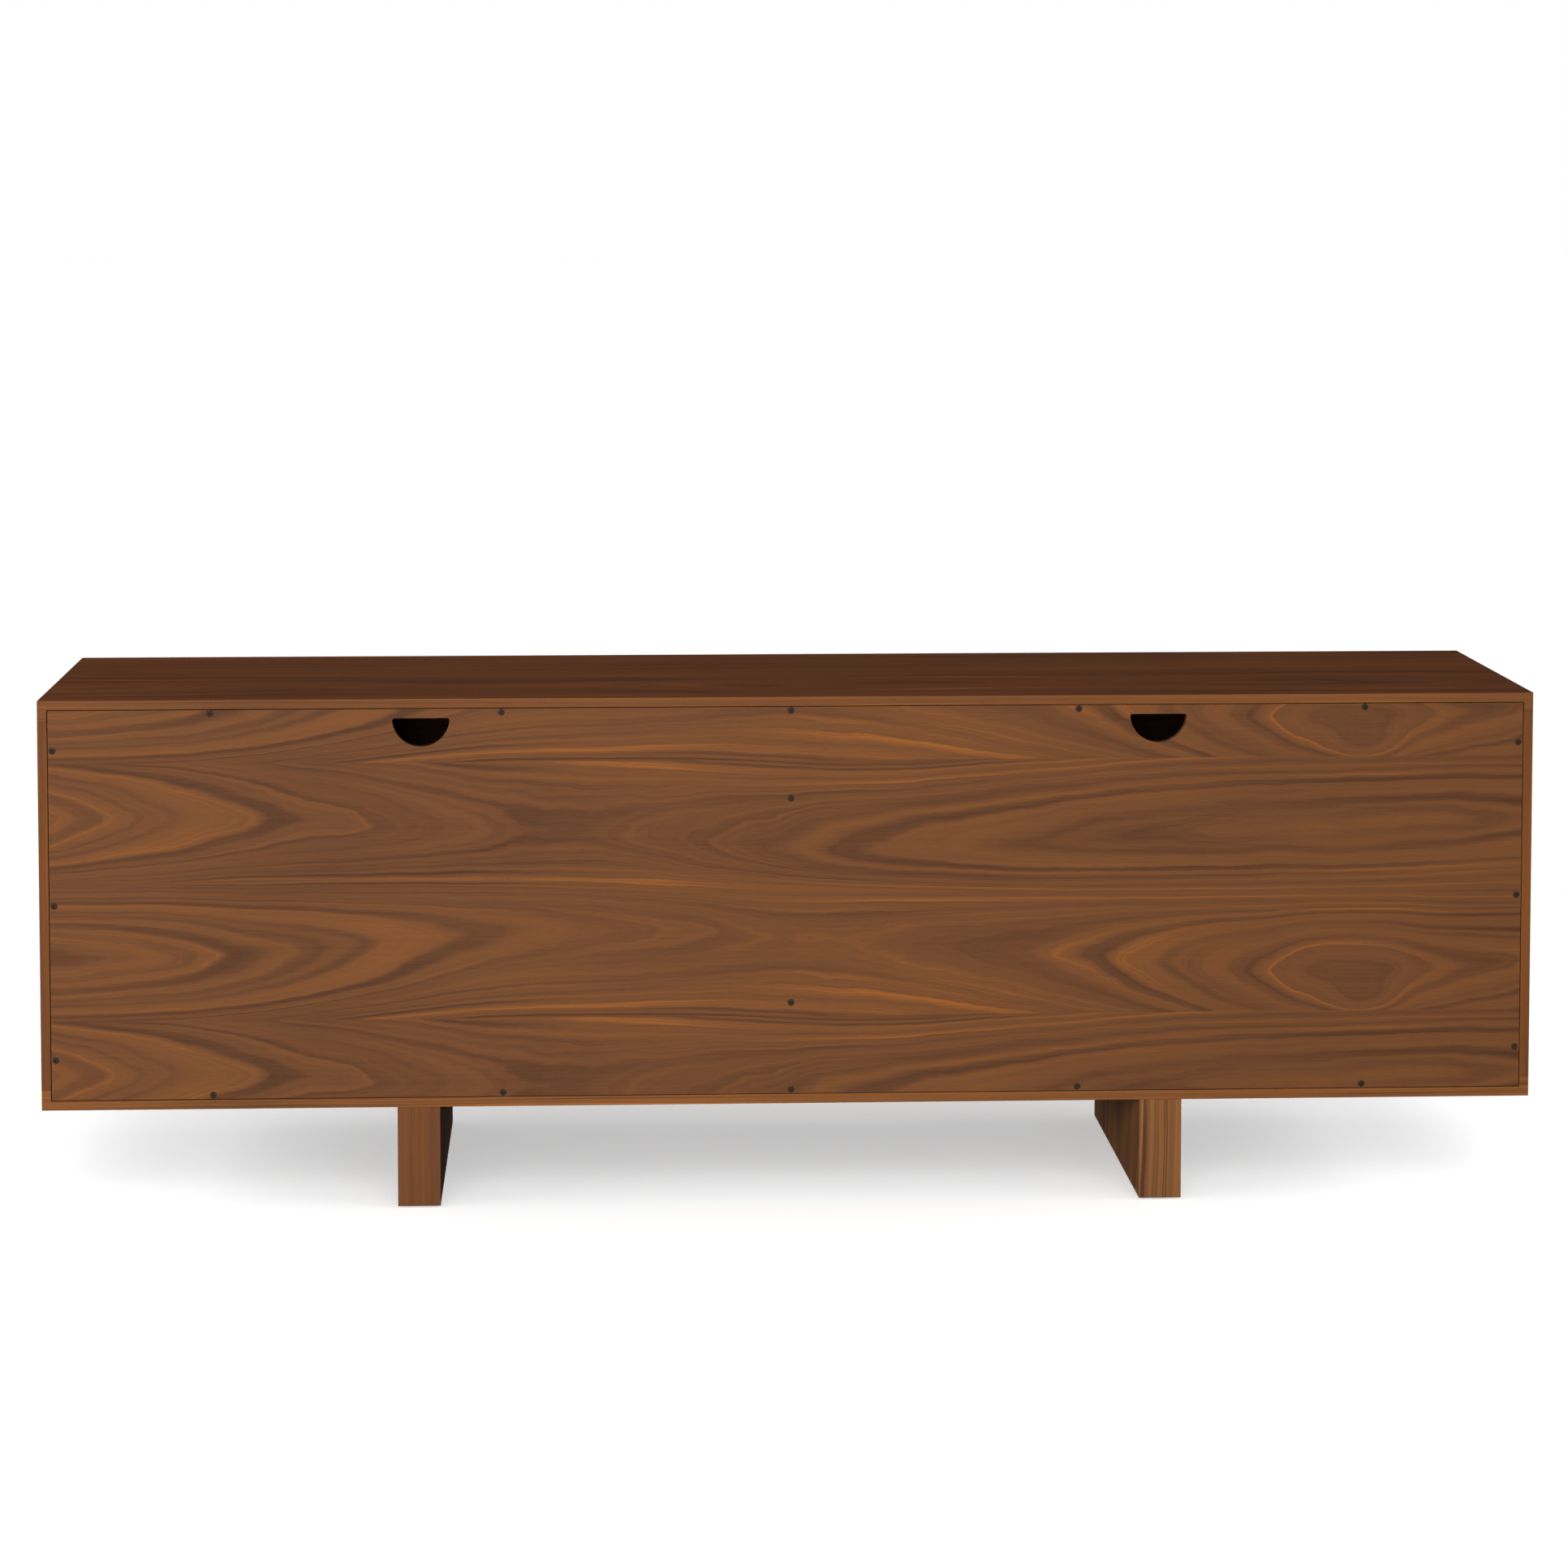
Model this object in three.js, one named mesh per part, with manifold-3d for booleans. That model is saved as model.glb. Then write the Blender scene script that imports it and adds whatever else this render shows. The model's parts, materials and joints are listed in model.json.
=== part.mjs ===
// A long, low walnut media cabinet that stands on two plank legs.
//
// Five veneered boards make the case, and a thin back panel is screwed into a rebate round its
// rear edges. A centre divider makes two equal bays, each with one adjustable shelf on pins.
// Two sliding doors pass each other in front of the divider. Each door rolls on two small
// grooved wheels under its lower edge, and a channel guides the tongue along its top.
//
// Millimetres, +Z up. The front faces -Y. The origin is on the floor, under the middle.

import * as THREE from 'three';
import { mergeVertices } from 'three/addons/utils/BufferGeometryUtils.js';
import Module from 'manifold-3d';

const wasm = await Module();
wasm.setup();

// ---------------------------------------------------------------- driving dimensions

const WIDTH = 1830;
const DEPTH = 457;
const HEIGHT = 628;
const LEG_HEIGHT = 125; // floor to the underside of the case, glides included
const BOARD = 25; // thickness of the case boards and the divider
const GAP = 0.25; // clearance round hardware that is let into wood
const OVERSHOOT = 1; // how far a cutting tool runs past the face that it opens

// ---------------------------------------------------------------- the case

const HALF_WIDTH = WIDTH / 2;
const FRONT_Y = -DEPTH / 2;
const REAR_Y = DEPTH / 2;
const CASE_BOTTOM = LEG_HEIGHT;
const FLOOR_Z = CASE_BOTTOM + BOARD;
const CEILING_Z = HEIGHT - BOARD;
const INNER_HALF = HALF_WIDTH - BOARD;
const INNER_HEIGHT = CEILING_Z - FLOOR_Z;

// The back panel sits in a rebate. A narrow lip of each board shows round it.
const BACK_THICKNESS = 12;
const BACK_RECESS = 0.5; // how far the panel lies below the rear edges
const BACK_LIP = 11.5; // width of the lip that shows
const BACK_EDGE_GAP = 1; // shadow gap between lip and panel
const LEDGE_Y = REAR_Y - BACK_RECESS - BACK_THICKNESS;
const BACK_REAR_Y = REAR_Y - BACK_RECESS;
const BACK_HALF_WIDTH = HALF_WIDTH - BACK_LIP - BACK_EDGE_GAP;
const BACK_LOW_Z = CASE_BOTTOM + BACK_LIP + BACK_EDGE_GAP;
const BACK_HIGH_Z = HEIGHT - BACK_LIP - BACK_EDGE_GAP;

// Each bay has a half-round cable outlet in the back, flat side up.
const BAY_CENTRE_X = (INNER_HALF + BOARD / 2) / 2;
const OUTLET_RADIUS = 35;
const OUTLET_DROP = 23.75; // top of the case to the outlet's flat edge
const OUTLET_CORNER = 3; // rounding where the flat edge meets the arc

// ---------------------------------------------------------------- sliding doors and tracks

const DOOR_INSET = 4; // front edge of the case to the face of the front door
const DOOR_THICKNESS = 19;
const DOOR_PASS_GAP = 4; // between the two doors, and between the rear door and the divider
const DOOR_OVERLAP = 30; // how far the closed doors lie behind each other
const DOOR_SIDE_GAP = 3.25; // door edge to the side board, filled by the rubber stop
const DOOR_BOTTOM_GAP = 2.5;
const DOOR_TOP_GAP = 2.5;
const DOOR_WIDTH = (2 * (INNER_HALF - DOOR_SIDE_GAP) + DOOR_OVERLAP) / 2;
const DOOR_HEIGHT = INNER_HEIGHT - DOOR_BOTTOM_GAP - DOOR_TOP_GAP;
const FRONT_DOOR_Y = FRONT_Y + DOOR_INSET + DOOR_THICKNESS / 2;
const REAR_DOOR_Y = FRONT_DOOR_Y + DOOR_THICKNESS + DOOR_PASS_GAP;
const DIVIDER_FRONT_Y = REAR_DOOR_Y + DOOR_THICKNESS / 2 + DOOR_PASS_GAP;
const TONGUE_THICKNESS = 6;
const TONGUE_HEIGHT = 10.5;

// The guide channel is one profile for both doors, let into the top board.
const TRACK_WALL = 2;
const CHANNEL_WIDTH = 7;
const TRACK_FRONT_Y = FRONT_DOOR_Y - CHANNEL_WIDTH / 2 - TRACK_WALL;
const TRACK_REAR_Y = REAR_DOOR_Y + CHANNEL_WIDTH / 2 + TRACK_WALL;
const CHANNEL_DEPTH = 10;
const CHANNEL_SET_UP = 0.5; // the profile's lips stay this far above the ceiling
const UPPER_GROOVE_DEPTH = CHANNEL_SET_UP + CHANNEL_DEPTH + TRACK_WALL;

// The running track is a flat strip with one upright rail for each door.
const LOWER_GROOVE_DEPTH = 6;
const RAIL_WIDTH = 2.5;
const RAIL_TOP_Z = FLOOR_Z - GAP;

// Rubber stops on the side boards take the doors' edges.
const STOP_RADIUS = 5;
const STOP_THICKNESS = DOOR_SIDE_GAP - GAP;
const STOP_CHAMFER = 1;

// ---------------------------------------------------------------- rollers and finger pulls

const WHEEL_TREAD_RADIUS = 8; // bottom of the groove, which rolls on the rail
const WHEEL_RIM_RADIUS = 9.75;
const WHEEL_WIDTH = 6.5;
const TREAD_WIDTH = 3;
const RIM_FLAT = 1.25;
const AXLE_RADIUS = 1.75;
const AXLE_HOLE_RADIUS = 2;
const AXLE_LENGTH = 11;
const WHEEL_Z = RAIL_TOP_Z + GAP + WHEEL_TREAD_RADIUS;
const ROLLER_INSET = 80; // door edge to the middle of its roller
const HOUSING_LENGTH = 39.5;
const HOUSING_WIDTH = 11.5;
const HOUSING_HEIGHT = 19.5;
const WHEEL_SLOT_LENGTH = 21;
const WHEEL_SLOT_WIDTH = 7.5;
const WHEEL_SLOT_HEIGHT = 17;

const PULL_INSET = 60; // door edge to the middle of its finger pull
const PULL_HALF_STRAIGHT = 38; // half the straight stretch of its long sides
const PULL_RADIUS = 17;
const PULL_DEPTH = 12;
const PULL_WALL = 1.5;
const PULL_FLANGE = 2;
const PULL_FLANGE_THICKNESS = 1;

// ---------------------------------------------------------------- shelves

const SHELF_THICKNESS = 19;
const SHELF_UNDERSIDE_Z = 364;
const SHELF_END_GAP = 2;
const SHELF_SET_BACK = 10; // behind the divider's front edge
const SHELF_CABLE_GAP = 20; // in front of the back panel, for cables
const SHELF_FRONT_Y = DIVIDER_FRONT_Y + SHELF_SET_BACK;
const SHELF_REAR_Y = LEDGE_Y - SHELF_CABLE_GAP;
const PIN_PEG_RADIUS = 2.5;
const PIN_PEG_LENGTH = 9;
const PIN_STUB_RADIUS = 3;
const PIN_STUB_LENGTH = 8.5;
const PIN_HOLE_RADIUS = PIN_PEG_RADIUS + GAP;
const PIN_HOLE_DEPTH = 10;
const PIN_HOLE_PITCH = 32;
const PIN_HOLE_STEPS = [-1, 0, 1];
const PIN_INSET = 40; // shelf edge to its pins
const PIN_YS = [SHELF_FRONT_Y + PIN_INSET, SHELF_REAR_Y - PIN_INSET];
const PIN_Z = SHELF_UNDERSIDE_Z - GAP - PIN_STUB_RADIUS;

// ---------------------------------------------------------------- legs, bolts and glides

const LEG_THICKNESS = 52;
const LEG_OUTER_X = 482.5;
const LEG_CENTRE_X = LEG_OUTER_X - LEG_THICKNESS / 2;
const GLIDE_THICKNESS = 2;
const GLIDE_RADIUS = 12;
const GLIDE_NAIL_RADIUS = 2;
const GLIDE_NAIL_LENGTH = 14;
const GLIDE_Y = 190;
const BOLT_Y = 150;
const BOLT_SHANK_RADIUS = 4;
const BOLT_LENGTH = 80;
const BOLT_HEAD_RADIUS = 7.5;
const BOLT_HEAD_HEIGHT = 5;
const BOLT_SOCKET_RADIUS = 3.4;
const BOLT_SOCKET_DEPTH = 3;
const BOLT_SINK = 0.5; // the head lies this far below the bay's floor

// ---------------------------------------------------------------- the back panel's screws

const SCREW_HEAD_RADIUS = 4;
const SCREW_HEAD_DEPTH = 2.5;
const SCREW_SHANK_RADIUS = 1.75;
const SCREW_LENGTH = 30;
const SCREW_POINT = 4;
const SCREW_SINK = 0.25; // the head lies this far below the panel
const CROSS_LENGTH = 4.6;
const CROSS_WIDTH = 0.9;
const CROSS_DEPTH = 1.5;

const SCREW_EDGE_INSET = 17; // top and bottom rows, from the case's top and bottom
const SCREW_SIDE_INSET = 17.75; // side rows, from the case's sides
const SCREW_PITCH_X = 353.25;
const SCREW_ROW_REACH = 2; // screws on each side of the middle one in the top and bottom rows
const SCREW_CORNER_DROP = 61.5; // first and last screw of a side row, from top and bottom
const SCREW_DIVIDER_DROP = 125; // screws into the divider, from top and bottom

// Faces round a turned shape, and steps along an arc.
const ROUND_SIDES = 12;
const SCREW_SIDES = 10;
const HOLE_SIDES = 8;
const SOCKET_SIDES = 6;
const OUTLET_ARC_STEPS = 10;
const PULL_ARC_STEPS = 6;

// ---------------------------------------------------------------- materials

const FINISHES = {
  veneer: { color: 0x7a5238, roughness: 0.5, metalness: 0 },
  solidWalnut: { color: 0x8a6042, roughness: 0.55, metalness: 0 },
  blackSteel: { color: 0x17161a, roughness: 0.4, metalness: 0.9 },
  zincSteel: { color: 0xa8a9ad, roughness: 0.35, metalness: 1 },
  aluminium: { color: 0x4a4643, roughness: 0.4, metalness: 0.9 },
  nylon: { color: 0xd9d6cc, roughness: 0.6, metalness: 0 },
  blackPlastic: { color: 0x1c1c1d, roughness: 0.55, metalness: 0 },
  rubber: { color: 0x4b4a48, roughness: 0.85, metalness: 0 },
};

// ---------------------------------------------------------------- solids

// A closed three.js geometry as a solid that can be cut and joined.
function solid(geometry) {
  const bare = geometry.clone();
  bare.deleteAttribute('normal');
  bare.deleteAttribute('uv');
  const merged = mergeVertices(bare);
  const vertProperties = new Float32Array(merged.attributes.position.array);
  const triVerts = new Uint32Array(merged.index.array);
  return new wasm.Manifold(new wasm.Mesh({ numProp: 3, vertProperties, triVerts }));
}

// A solid back as a geometry, with flat shading.
function geometryOf(body) {
  const mesh = body.getMesh();
  const geometry = new THREE.BufferGeometry();
  geometry.setAttribute('position', new THREE.BufferAttribute(mesh.vertProperties, 3));
  geometry.setIndex(new THREE.BufferAttribute(mesh.triVerts, 1));
  const flat = geometry.toNonIndexed();
  flat.computeVertexNormals();
  return flat;
}

// The base with every tool cut away.
function cut(base, tools) {
  return tools.reduce((body, tool) => body.subtract(solid(tool)), solid(base));
}

// ---------------------------------------------------------------- shapes

// A box between two corners.
function block([x0, y0, z0], [x1, y1, z1]) {
  const geometry = new THREE.BoxGeometry(x1 - x0, y1 - y0, z1 - z0);
  return geometry.translate((x0 + x1) / 2, (y0 + y1) / 2, (z0 + z1) / 2);
}

// A turned shape about +Z. The profile is a list of [radius, z], from the axis back to the axis,
// and runs upwards.
function turned(profile, sides) {
  const points = profile.map(([radius, z]) => new THREE.Vector2(radius, z));
  const geometry = new THREE.LatheGeometry(points, sides);
  return geometry.rotateX(Math.PI / 2);
}

function cylinder(radius, low, high, sides) {
  return turned([[0, low], [radius, low], [radius, high], [0, high]], sides);
}

// An outline in X and Z, extruded along Y from y0 to y1.
function slab(shape, y0, y1, arcSteps) {
  const options = { depth: y1 - y0, bevelEnabled: false, curveSegments: arcSteps };
  const geometry = new THREE.ExtrudeGeometry(shape, options);
  return geometry.rotateX(Math.PI / 2).translate(0, y1, 0);
}

// An outline in Y and Z, extruded along X over the full length, centred on x = 0.
function rod(points, length) {
  const shape = new THREE.Shape(points.map(([y, z]) => new THREE.Vector2(y, z)));
  const geometry = new THREE.ExtrudeGeometry(shape, { depth: length, bevelEnabled: false });
  geometry.translate(0, 0, -length / 2);
  return geometry.rotateX(Math.PI / 2).rotateZ(Math.PI / 2);
}

// An upright slot outline with round ends, centred on the origin.
function slotShape(halfStraight, radius) {
  const shape = new THREE.Shape();
  shape.moveTo(radius, -halfStraight);
  shape.lineTo(radius, halfStraight);
  shape.absarc(0, halfStraight, radius, 0, Math.PI, false);
  shape.lineTo(-radius, -halfStraight);
  shape.absarc(0, -halfStraight, radius, Math.PI, 2 * Math.PI, false);
  return shape;
}

// A half disc, flat side up, with its flat edge on z = 0 and small round upper corners.
function outletShape() {
  const bulge = OUTLET_RADIUS - OUTLET_CORNER;
  const cornerX = Math.sqrt(bulge * bulge - OUTLET_CORNER * OUTLET_CORNER);
  const turn = Math.asin(OUTLET_CORNER / bulge);
  const shape = new THREE.Shape();
  shape.absarc(cornerX, -OUTLET_CORNER, OUTLET_CORNER, Math.PI / 2, -turn, true);
  shape.absarc(0, 0, OUTLET_RADIUS, -turn, turn - Math.PI, true);
  const lastTurn = Math.PI / 2 - 2 * Math.PI;
  shape.absarc(-cornerX, -OUTLET_CORNER, OUTLET_CORNER, turn - Math.PI, lastTurn, true);
  return shape;
}

// ---------------------------------------------------------------- holes in the boards

const PILOT_RADIUS = SCREW_SHANK_RADIUS + GAP;
const PILOT_SPARE = 1; // how much deeper a blind hole is than what goes into it
const SCREW_HEAD_Y = BACK_REAR_Y - SCREW_SINK;
const SCREW_END_Y = SCREW_HEAD_Y - SCREW_LENGTH;

// Every screw of the back panel: its name's ending and its place.
function screwPlaces() {
  const places = [];
  const rows = [['top', HEIGHT - SCREW_EDGE_INSET], ['bottom', CASE_BOTTOM + SCREW_EDGE_INSET]];
  for (const [row, z] of rows) {
    for (let step = -SCREW_ROW_REACH; step <= SCREW_ROW_REACH; step += 1) {
      const name = `${row}_${step + SCREW_ROW_REACH + 1}`;
      places.push({ name, board: row, x: step * SCREW_PITCH_X, z });
    }
  }
  const heights = [
    CASE_BOTTOM + SCREW_CORNER_DROP,
    (CASE_BOTTOM + HEIGHT) / 2,
    HEIGHT - SCREW_CORNER_DROP,
  ];
  for (const [side, sign] of [['left', -1], ['right', 1]]) {
    heights.forEach((z, i) => {
      const x = sign * (HALF_WIDTH - SCREW_SIDE_INSET);
      places.push({ name: `${side}_${i + 1}`, board: side, x, z });
    });
  }
  [CASE_BOTTOM + SCREW_DIVIDER_DROP, HEIGHT - SCREW_DIVIDER_DROP].forEach((z, i) => {
    places.push({ name: `centre_${i + 1}`, board: 'centre', x: 0, z });
  });
  return places;
}

const SCREWS = screwPlaces();

// Blind pilot holes for the screws that go into one board.
function pilotHoles(board) {
  return SCREWS.filter((screw) => screw.board === board).map(({ x, z }) => {
    const mouthY = LEDGE_Y + OVERSHOOT;
    const hole = cylinder(PILOT_RADIUS, SCREW_END_Y - PILOT_SPARE, mouthY, HOLE_SIDES);
    return hole.rotateX(-Math.PI / 2).translate(x, 0, z);
  });
}

// Rows of blind shelf-pin holes in the face at x = faceX. The holes run away from the bay.
function pinHoles(faceX, away) {
  const tools = [];
  for (const y of PIN_YS) {
    for (const step of PIN_HOLE_STEPS) {
      const hole = cylinder(PIN_HOLE_RADIUS, -OVERSHOOT, PIN_HOLE_DEPTH, HOLE_SIDES);
      const z = PIN_Z + step * PIN_HOLE_PITCH;
      tools.push(hole.rotateY((away * Math.PI) / 2).translate(faceX, y, z));
    }
  }
  return tools;
}

// Every bolt and glide stands on a leg's centre line, near one end of the leg.
function legSpots(y) {
  const spots = [];
  for (const [side, sign] of [['left', -1], ['right', 1]]) {
    for (const [end, toRear] of [['front', -1], ['rear', 1]]) {
      spots.push({ name: `${side}_${end}`, side, x: sign * LEG_CENTRE_X, y: toRear * y });
    }
  }
  return spots;
}

const BOLTS = legSpots(BOLT_Y);
const GLIDES = legSpots(GLIDE_Y);
const BOLT_TOP_Z = FLOOR_Z - BOLT_SINK;
const BOLT_END_Z = BOLT_TOP_Z - BOLT_LENGTH;

// ---------------------------------------------------------------- case boards

// The top board, with the stopped rebate for the back panel and the guide channel's groove.
function topBoard() {
  const board = block([-HALF_WIDTH, FRONT_Y, CEILING_Z], [HALF_WIDTH, REAR_Y, HEIGHT]);
  const rebate = block(
    [-HALF_WIDTH + BACK_LIP, LEDGE_Y, CEILING_Z - OVERSHOOT],
    [HALF_WIDTH - BACK_LIP, REAR_Y + OVERSHOOT, HEIGHT - BACK_LIP],
  );
  const groove = block(
    [-INNER_HALF, TRACK_FRONT_Y - GAP, CEILING_Z - OVERSHOOT],
    [INNER_HALF, TRACK_REAR_Y + GAP, CEILING_Z + UPPER_GROOVE_DEPTH + GAP],
  );
  return cut(board, [rebate, groove, ...pilotHoles('top')]);
}

// The bottom board, with the rebate, the running track's groove and the leg bolts' holes.
function bottomBoard() {
  const board = block([-HALF_WIDTH, FRONT_Y, CASE_BOTTOM], [HALF_WIDTH, REAR_Y, FLOOR_Z]);
  const rebate = block(
    [-HALF_WIDTH + BACK_LIP, LEDGE_Y, CASE_BOTTOM + BACK_LIP],
    [HALF_WIDTH - BACK_LIP, REAR_Y + OVERSHOOT, FLOOR_Z + OVERSHOOT],
  );
  const groove = block(
    [-INNER_HALF, TRACK_FRONT_Y - GAP, FLOOR_Z - LOWER_GROOVE_DEPTH - GAP],
    [INNER_HALF, TRACK_REAR_Y + GAP, FLOOR_Z + OVERSHOOT],
  );
  const boltHoles = BOLTS.flatMap(({ x, y }) => {
    const shankStart = CASE_BOTTOM - OVERSHOOT;
    const shankHole = cylinder(BOLT_SHANK_RADIUS + GAP, shankStart, FLOOR_Z, ROUND_SIDES);
    const seatZ = BOLT_TOP_Z - BOLT_HEAD_HEIGHT - GAP;
    const headTop = FLOOR_Z + OVERSHOOT;
    const headHole = cylinder(BOLT_HEAD_RADIUS + GAP, seatZ, headTop, ROUND_SIDES);
    return [shankHole.translate(x, y, 0), headHole.translate(x, y, 0)];
  });
  return cut(board, [rebate, groove, ...boltHoles, ...pilotHoles('bottom')]);
}

// A side board stands between top and bottom. Its rebate runs the full height.
function sideBoard(name, sign) {
  const [x0, x1] = [INNER_HALF, HALF_WIDTH].map((x) => sign * x).sort((a, b) => a - b);
  const board = block([x0, FRONT_Y, FLOOR_Z], [x1, REAR_Y, CEILING_Z]);
  const lipX = sign * (HALF_WIDTH - BACK_LIP);
  const insideX = sign * (INNER_HALF - OVERSHOOT);
  const rebate = block(
    [Math.min(lipX, insideX), LEDGE_Y, FLOOR_Z - OVERSHOOT],
    [Math.max(lipX, insideX), REAR_Y + OVERSHOOT, CEILING_Z + OVERSHOOT],
  );
  return cut(board, [rebate, ...pinHoles(sign * INNER_HALF, sign), ...pilotHoles(name)]);
}

function dividerBoard() {
  const half = BOARD / 2;
  const board = block([-half, DIVIDER_FRONT_Y, FLOOR_Z], [half, LEDGE_Y, CEILING_Z]);
  return cut(board, [...pinHoles(-half, 1), ...pinHoles(half, -1), ...pilotHoles('centre')]);
}

// A countersunk hole through the back panel for one screw. Its cone runs on past the face.
function countersunkHole({ x, z }) {
  const sinkStart = SCREW_HEAD_Y - SCREW_HEAD_DEPTH - GAP;
  const slope = (SCREW_HEAD_RADIUS - SCREW_SHANK_RADIUS) / SCREW_HEAD_DEPTH;
  const mouthY = BACK_REAR_Y + OVERSHOOT;
  const startY = LEDGE_Y - OVERSHOOT;
  const mouthRadius = PILOT_RADIUS + slope * (mouthY - sinkStart);
  const profile = [
    [0, startY],
    [PILOT_RADIUS, startY],
    [PILOT_RADIUS, sinkStart],
    [mouthRadius, mouthY],
    [0, mouthY],
  ];
  return turned(profile, SCREW_SIDES).rotateX(-Math.PI / 2).translate(x, 0, z);
}

// The back panel, with both cable outlets and all its screw holes.
function backPanel() {
  const panel = block(
    [-BACK_HALF_WIDTH, LEDGE_Y, BACK_LOW_Z],
    [BACK_HALF_WIDTH, BACK_REAR_Y, BACK_HIGH_Z],
  );
  const [outletStart, outletEnd] = [LEDGE_Y - OVERSHOOT, BACK_REAR_Y + OVERSHOOT];
  const outlets = [-BAY_CENTRE_X, BAY_CENTRE_X].map((x) => {
    const outlet = slab(outletShape(), outletStart, outletEnd, OUTLET_ARC_STEPS);
    return outlet.translate(x, 0, HEIGHT - OUTLET_DROP);
  });
  return cut(panel, [...outlets, ...SCREWS.map(countersunkHole)]);
}

// ---------------------------------------------------------------- legs and shelves

// A leg is a solid plank as deep as the case, with blind holes for its bolts and glides.
function plankLeg(side, sign) {
  const half = LEG_THICKNESS / 2;
  const centreX = sign * LEG_CENTRE_X;
  const plank = block(
    [centreX - half, FRONT_Y, GLIDE_THICKNESS],
    [centreX + half, REAR_Y, CASE_BOTTOM],
  );
  const ofThisLeg = (spot) => spot.side === side;
  const boltHoles = BOLTS.filter(ofThisLeg).map(({ x, y }) => {
    const [low, high] = [BOLT_END_Z - PILOT_SPARE, CASE_BOTTOM + OVERSHOOT];
    const hole = cylinder(BOLT_SHANK_RADIUS + GAP, low, high, ROUND_SIDES);
    return hole.translate(x, y, 0);
  });
  const nailHoles = GLIDES.filter(ofThisLeg).map(({ x, y }) => {
    const high = GLIDE_THICKNESS + GLIDE_NAIL_LENGTH + PILOT_SPARE;
    return cylinder(GLIDE_NAIL_RADIUS + GAP, 0, high, HOLE_SIDES).translate(x, y, 0);
  });
  return cut(plank, [...boltHoles, ...nailHoles]);
}

// A shelf fills one bay from end to end, and stops short of the doors and the back.
function shelfBoard() {
  const length = INNER_HALF - BOARD / 2 - 2 * SHELF_END_GAP;
  const geometry = block(
    [-length / 2, SHELF_FRONT_Y, 0],
    [length / 2, SHELF_REAR_Y, SHELF_THICKNESS],
  );
  return solid(geometry);
}

// ---------------------------------------------------------------- hardware

// A countersunk wood screw along +Z, with its head's top face on z = 0 and a cross recess.
function woodScrew() {
  const profile = [
    [0, -SCREW_LENGTH],
    [SCREW_SHANK_RADIUS, -SCREW_LENGTH + SCREW_POINT],
    [SCREW_SHANK_RADIUS, -SCREW_HEAD_DEPTH],
    [SCREW_HEAD_RADIUS, 0],
    [0, 0],
  ];
  const long = CROSS_LENGTH / 2;
  const thin = CROSS_WIDTH / 2;
  const slots = [
    block([-long, -thin, -CROSS_DEPTH], [long, thin, OVERSHOOT]),
    block([-thin, -long, -CROSS_DEPTH], [thin, long, OVERSHOOT]),
  ];
  return cut(turned(profile, SCREW_SIDES), slots);
}

// A leg bolt along +Z, with its head's top face on z = 0 and a hexagonal socket.
function legBolt() {
  const profile = [
    [0, -BOLT_LENGTH],
    [BOLT_SHANK_RADIUS, -BOLT_LENGTH],
    [BOLT_SHANK_RADIUS, -BOLT_HEAD_HEIGHT],
    [BOLT_HEAD_RADIUS, -BOLT_HEAD_HEIGHT],
    [BOLT_HEAD_RADIUS, 0],
    [0, 0],
  ];
  const socket = cylinder(BOLT_SOCKET_RADIUS, -BOLT_SOCKET_DEPTH, OVERSHOOT, SOCKET_SIDES);
  return cut(turned(profile, ROUND_SIDES), [socket]);
}

// A nail-on glide: a flat foot with its nail, standing on z = 0.
function footGlide() {
  const chamfer = GLIDE_THICKNESS / 2;
  const profile = [
    [0, 0],
    [GLIDE_RADIUS - chamfer, 0],
    [GLIDE_RADIUS, chamfer],
    [GLIDE_RADIUS, GLIDE_THICKNESS],
    [GLIDE_NAIL_RADIUS, GLIDE_THICKNESS],
    [GLIDE_NAIL_RADIUS, GLIDE_THICKNESS + GLIDE_NAIL_LENGTH],
    [0, GLIDE_THICKNESS + GLIDE_NAIL_LENGTH],
  ];
  return solid(turned(profile, ROUND_SIDES));
}

// A stepped shelf pin along +Z: its peg is in the board below z = 0, its stub carries the shelf.
function shelfPin() {
  const profile = [
    [0, -PIN_PEG_LENGTH],
    [PIN_PEG_RADIUS, -PIN_PEG_LENGTH],
    [PIN_PEG_RADIUS, 0],
    [PIN_STUB_RADIUS, 0],
    [PIN_STUB_RADIUS, PIN_STUB_LENGTH],
    [0, PIN_STUB_LENGTH],
  ];
  return solid(turned(profile, HOLE_SIDES));
}

// A round rubber door stop along +Z, stuck on by its face at z = 0.
function doorStop() {
  const profile = [
    [0, 0],
    [STOP_RADIUS, 0],
    [STOP_RADIUS, STOP_THICKNESS - STOP_CHAMFER],
    [STOP_RADIUS - STOP_CHAMFER, STOP_THICKNESS],
    [0, STOP_THICKNESS],
  ];
  return solid(turned(profile, ROUND_SIDES));
}

// The upper profile, with a channel open downwards for each door's tongue.
function guideChannel() {
  const low = CEILING_Z + CHANNEL_SET_UP;
  const rim = low + CHANNEL_DEPTH;
  const outline = [[TRACK_REAR_Y, rim + TRACK_WALL], [TRACK_FRONT_Y, rim + TRACK_WALL]];
  for (const y of [FRONT_DOOR_Y, REAR_DOOR_Y]) {
    const half = CHANNEL_WIDTH / 2;
    outline.push([y - half - TRACK_WALL, low], [y - half, low]);
    outline.push([y - half, rim], [y + half, rim]);
    outline.push([y + half, low], [y + half + TRACK_WALL, low]);
    if (y === FRONT_DOOR_Y) {
      outline.push([y + half + TRACK_WALL, rim], [REAR_DOOR_Y - half - TRACK_WALL, rim]);
    }
  }
  return solid(rod(outline, 2 * (INNER_HALF - GAP)));
}

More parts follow.
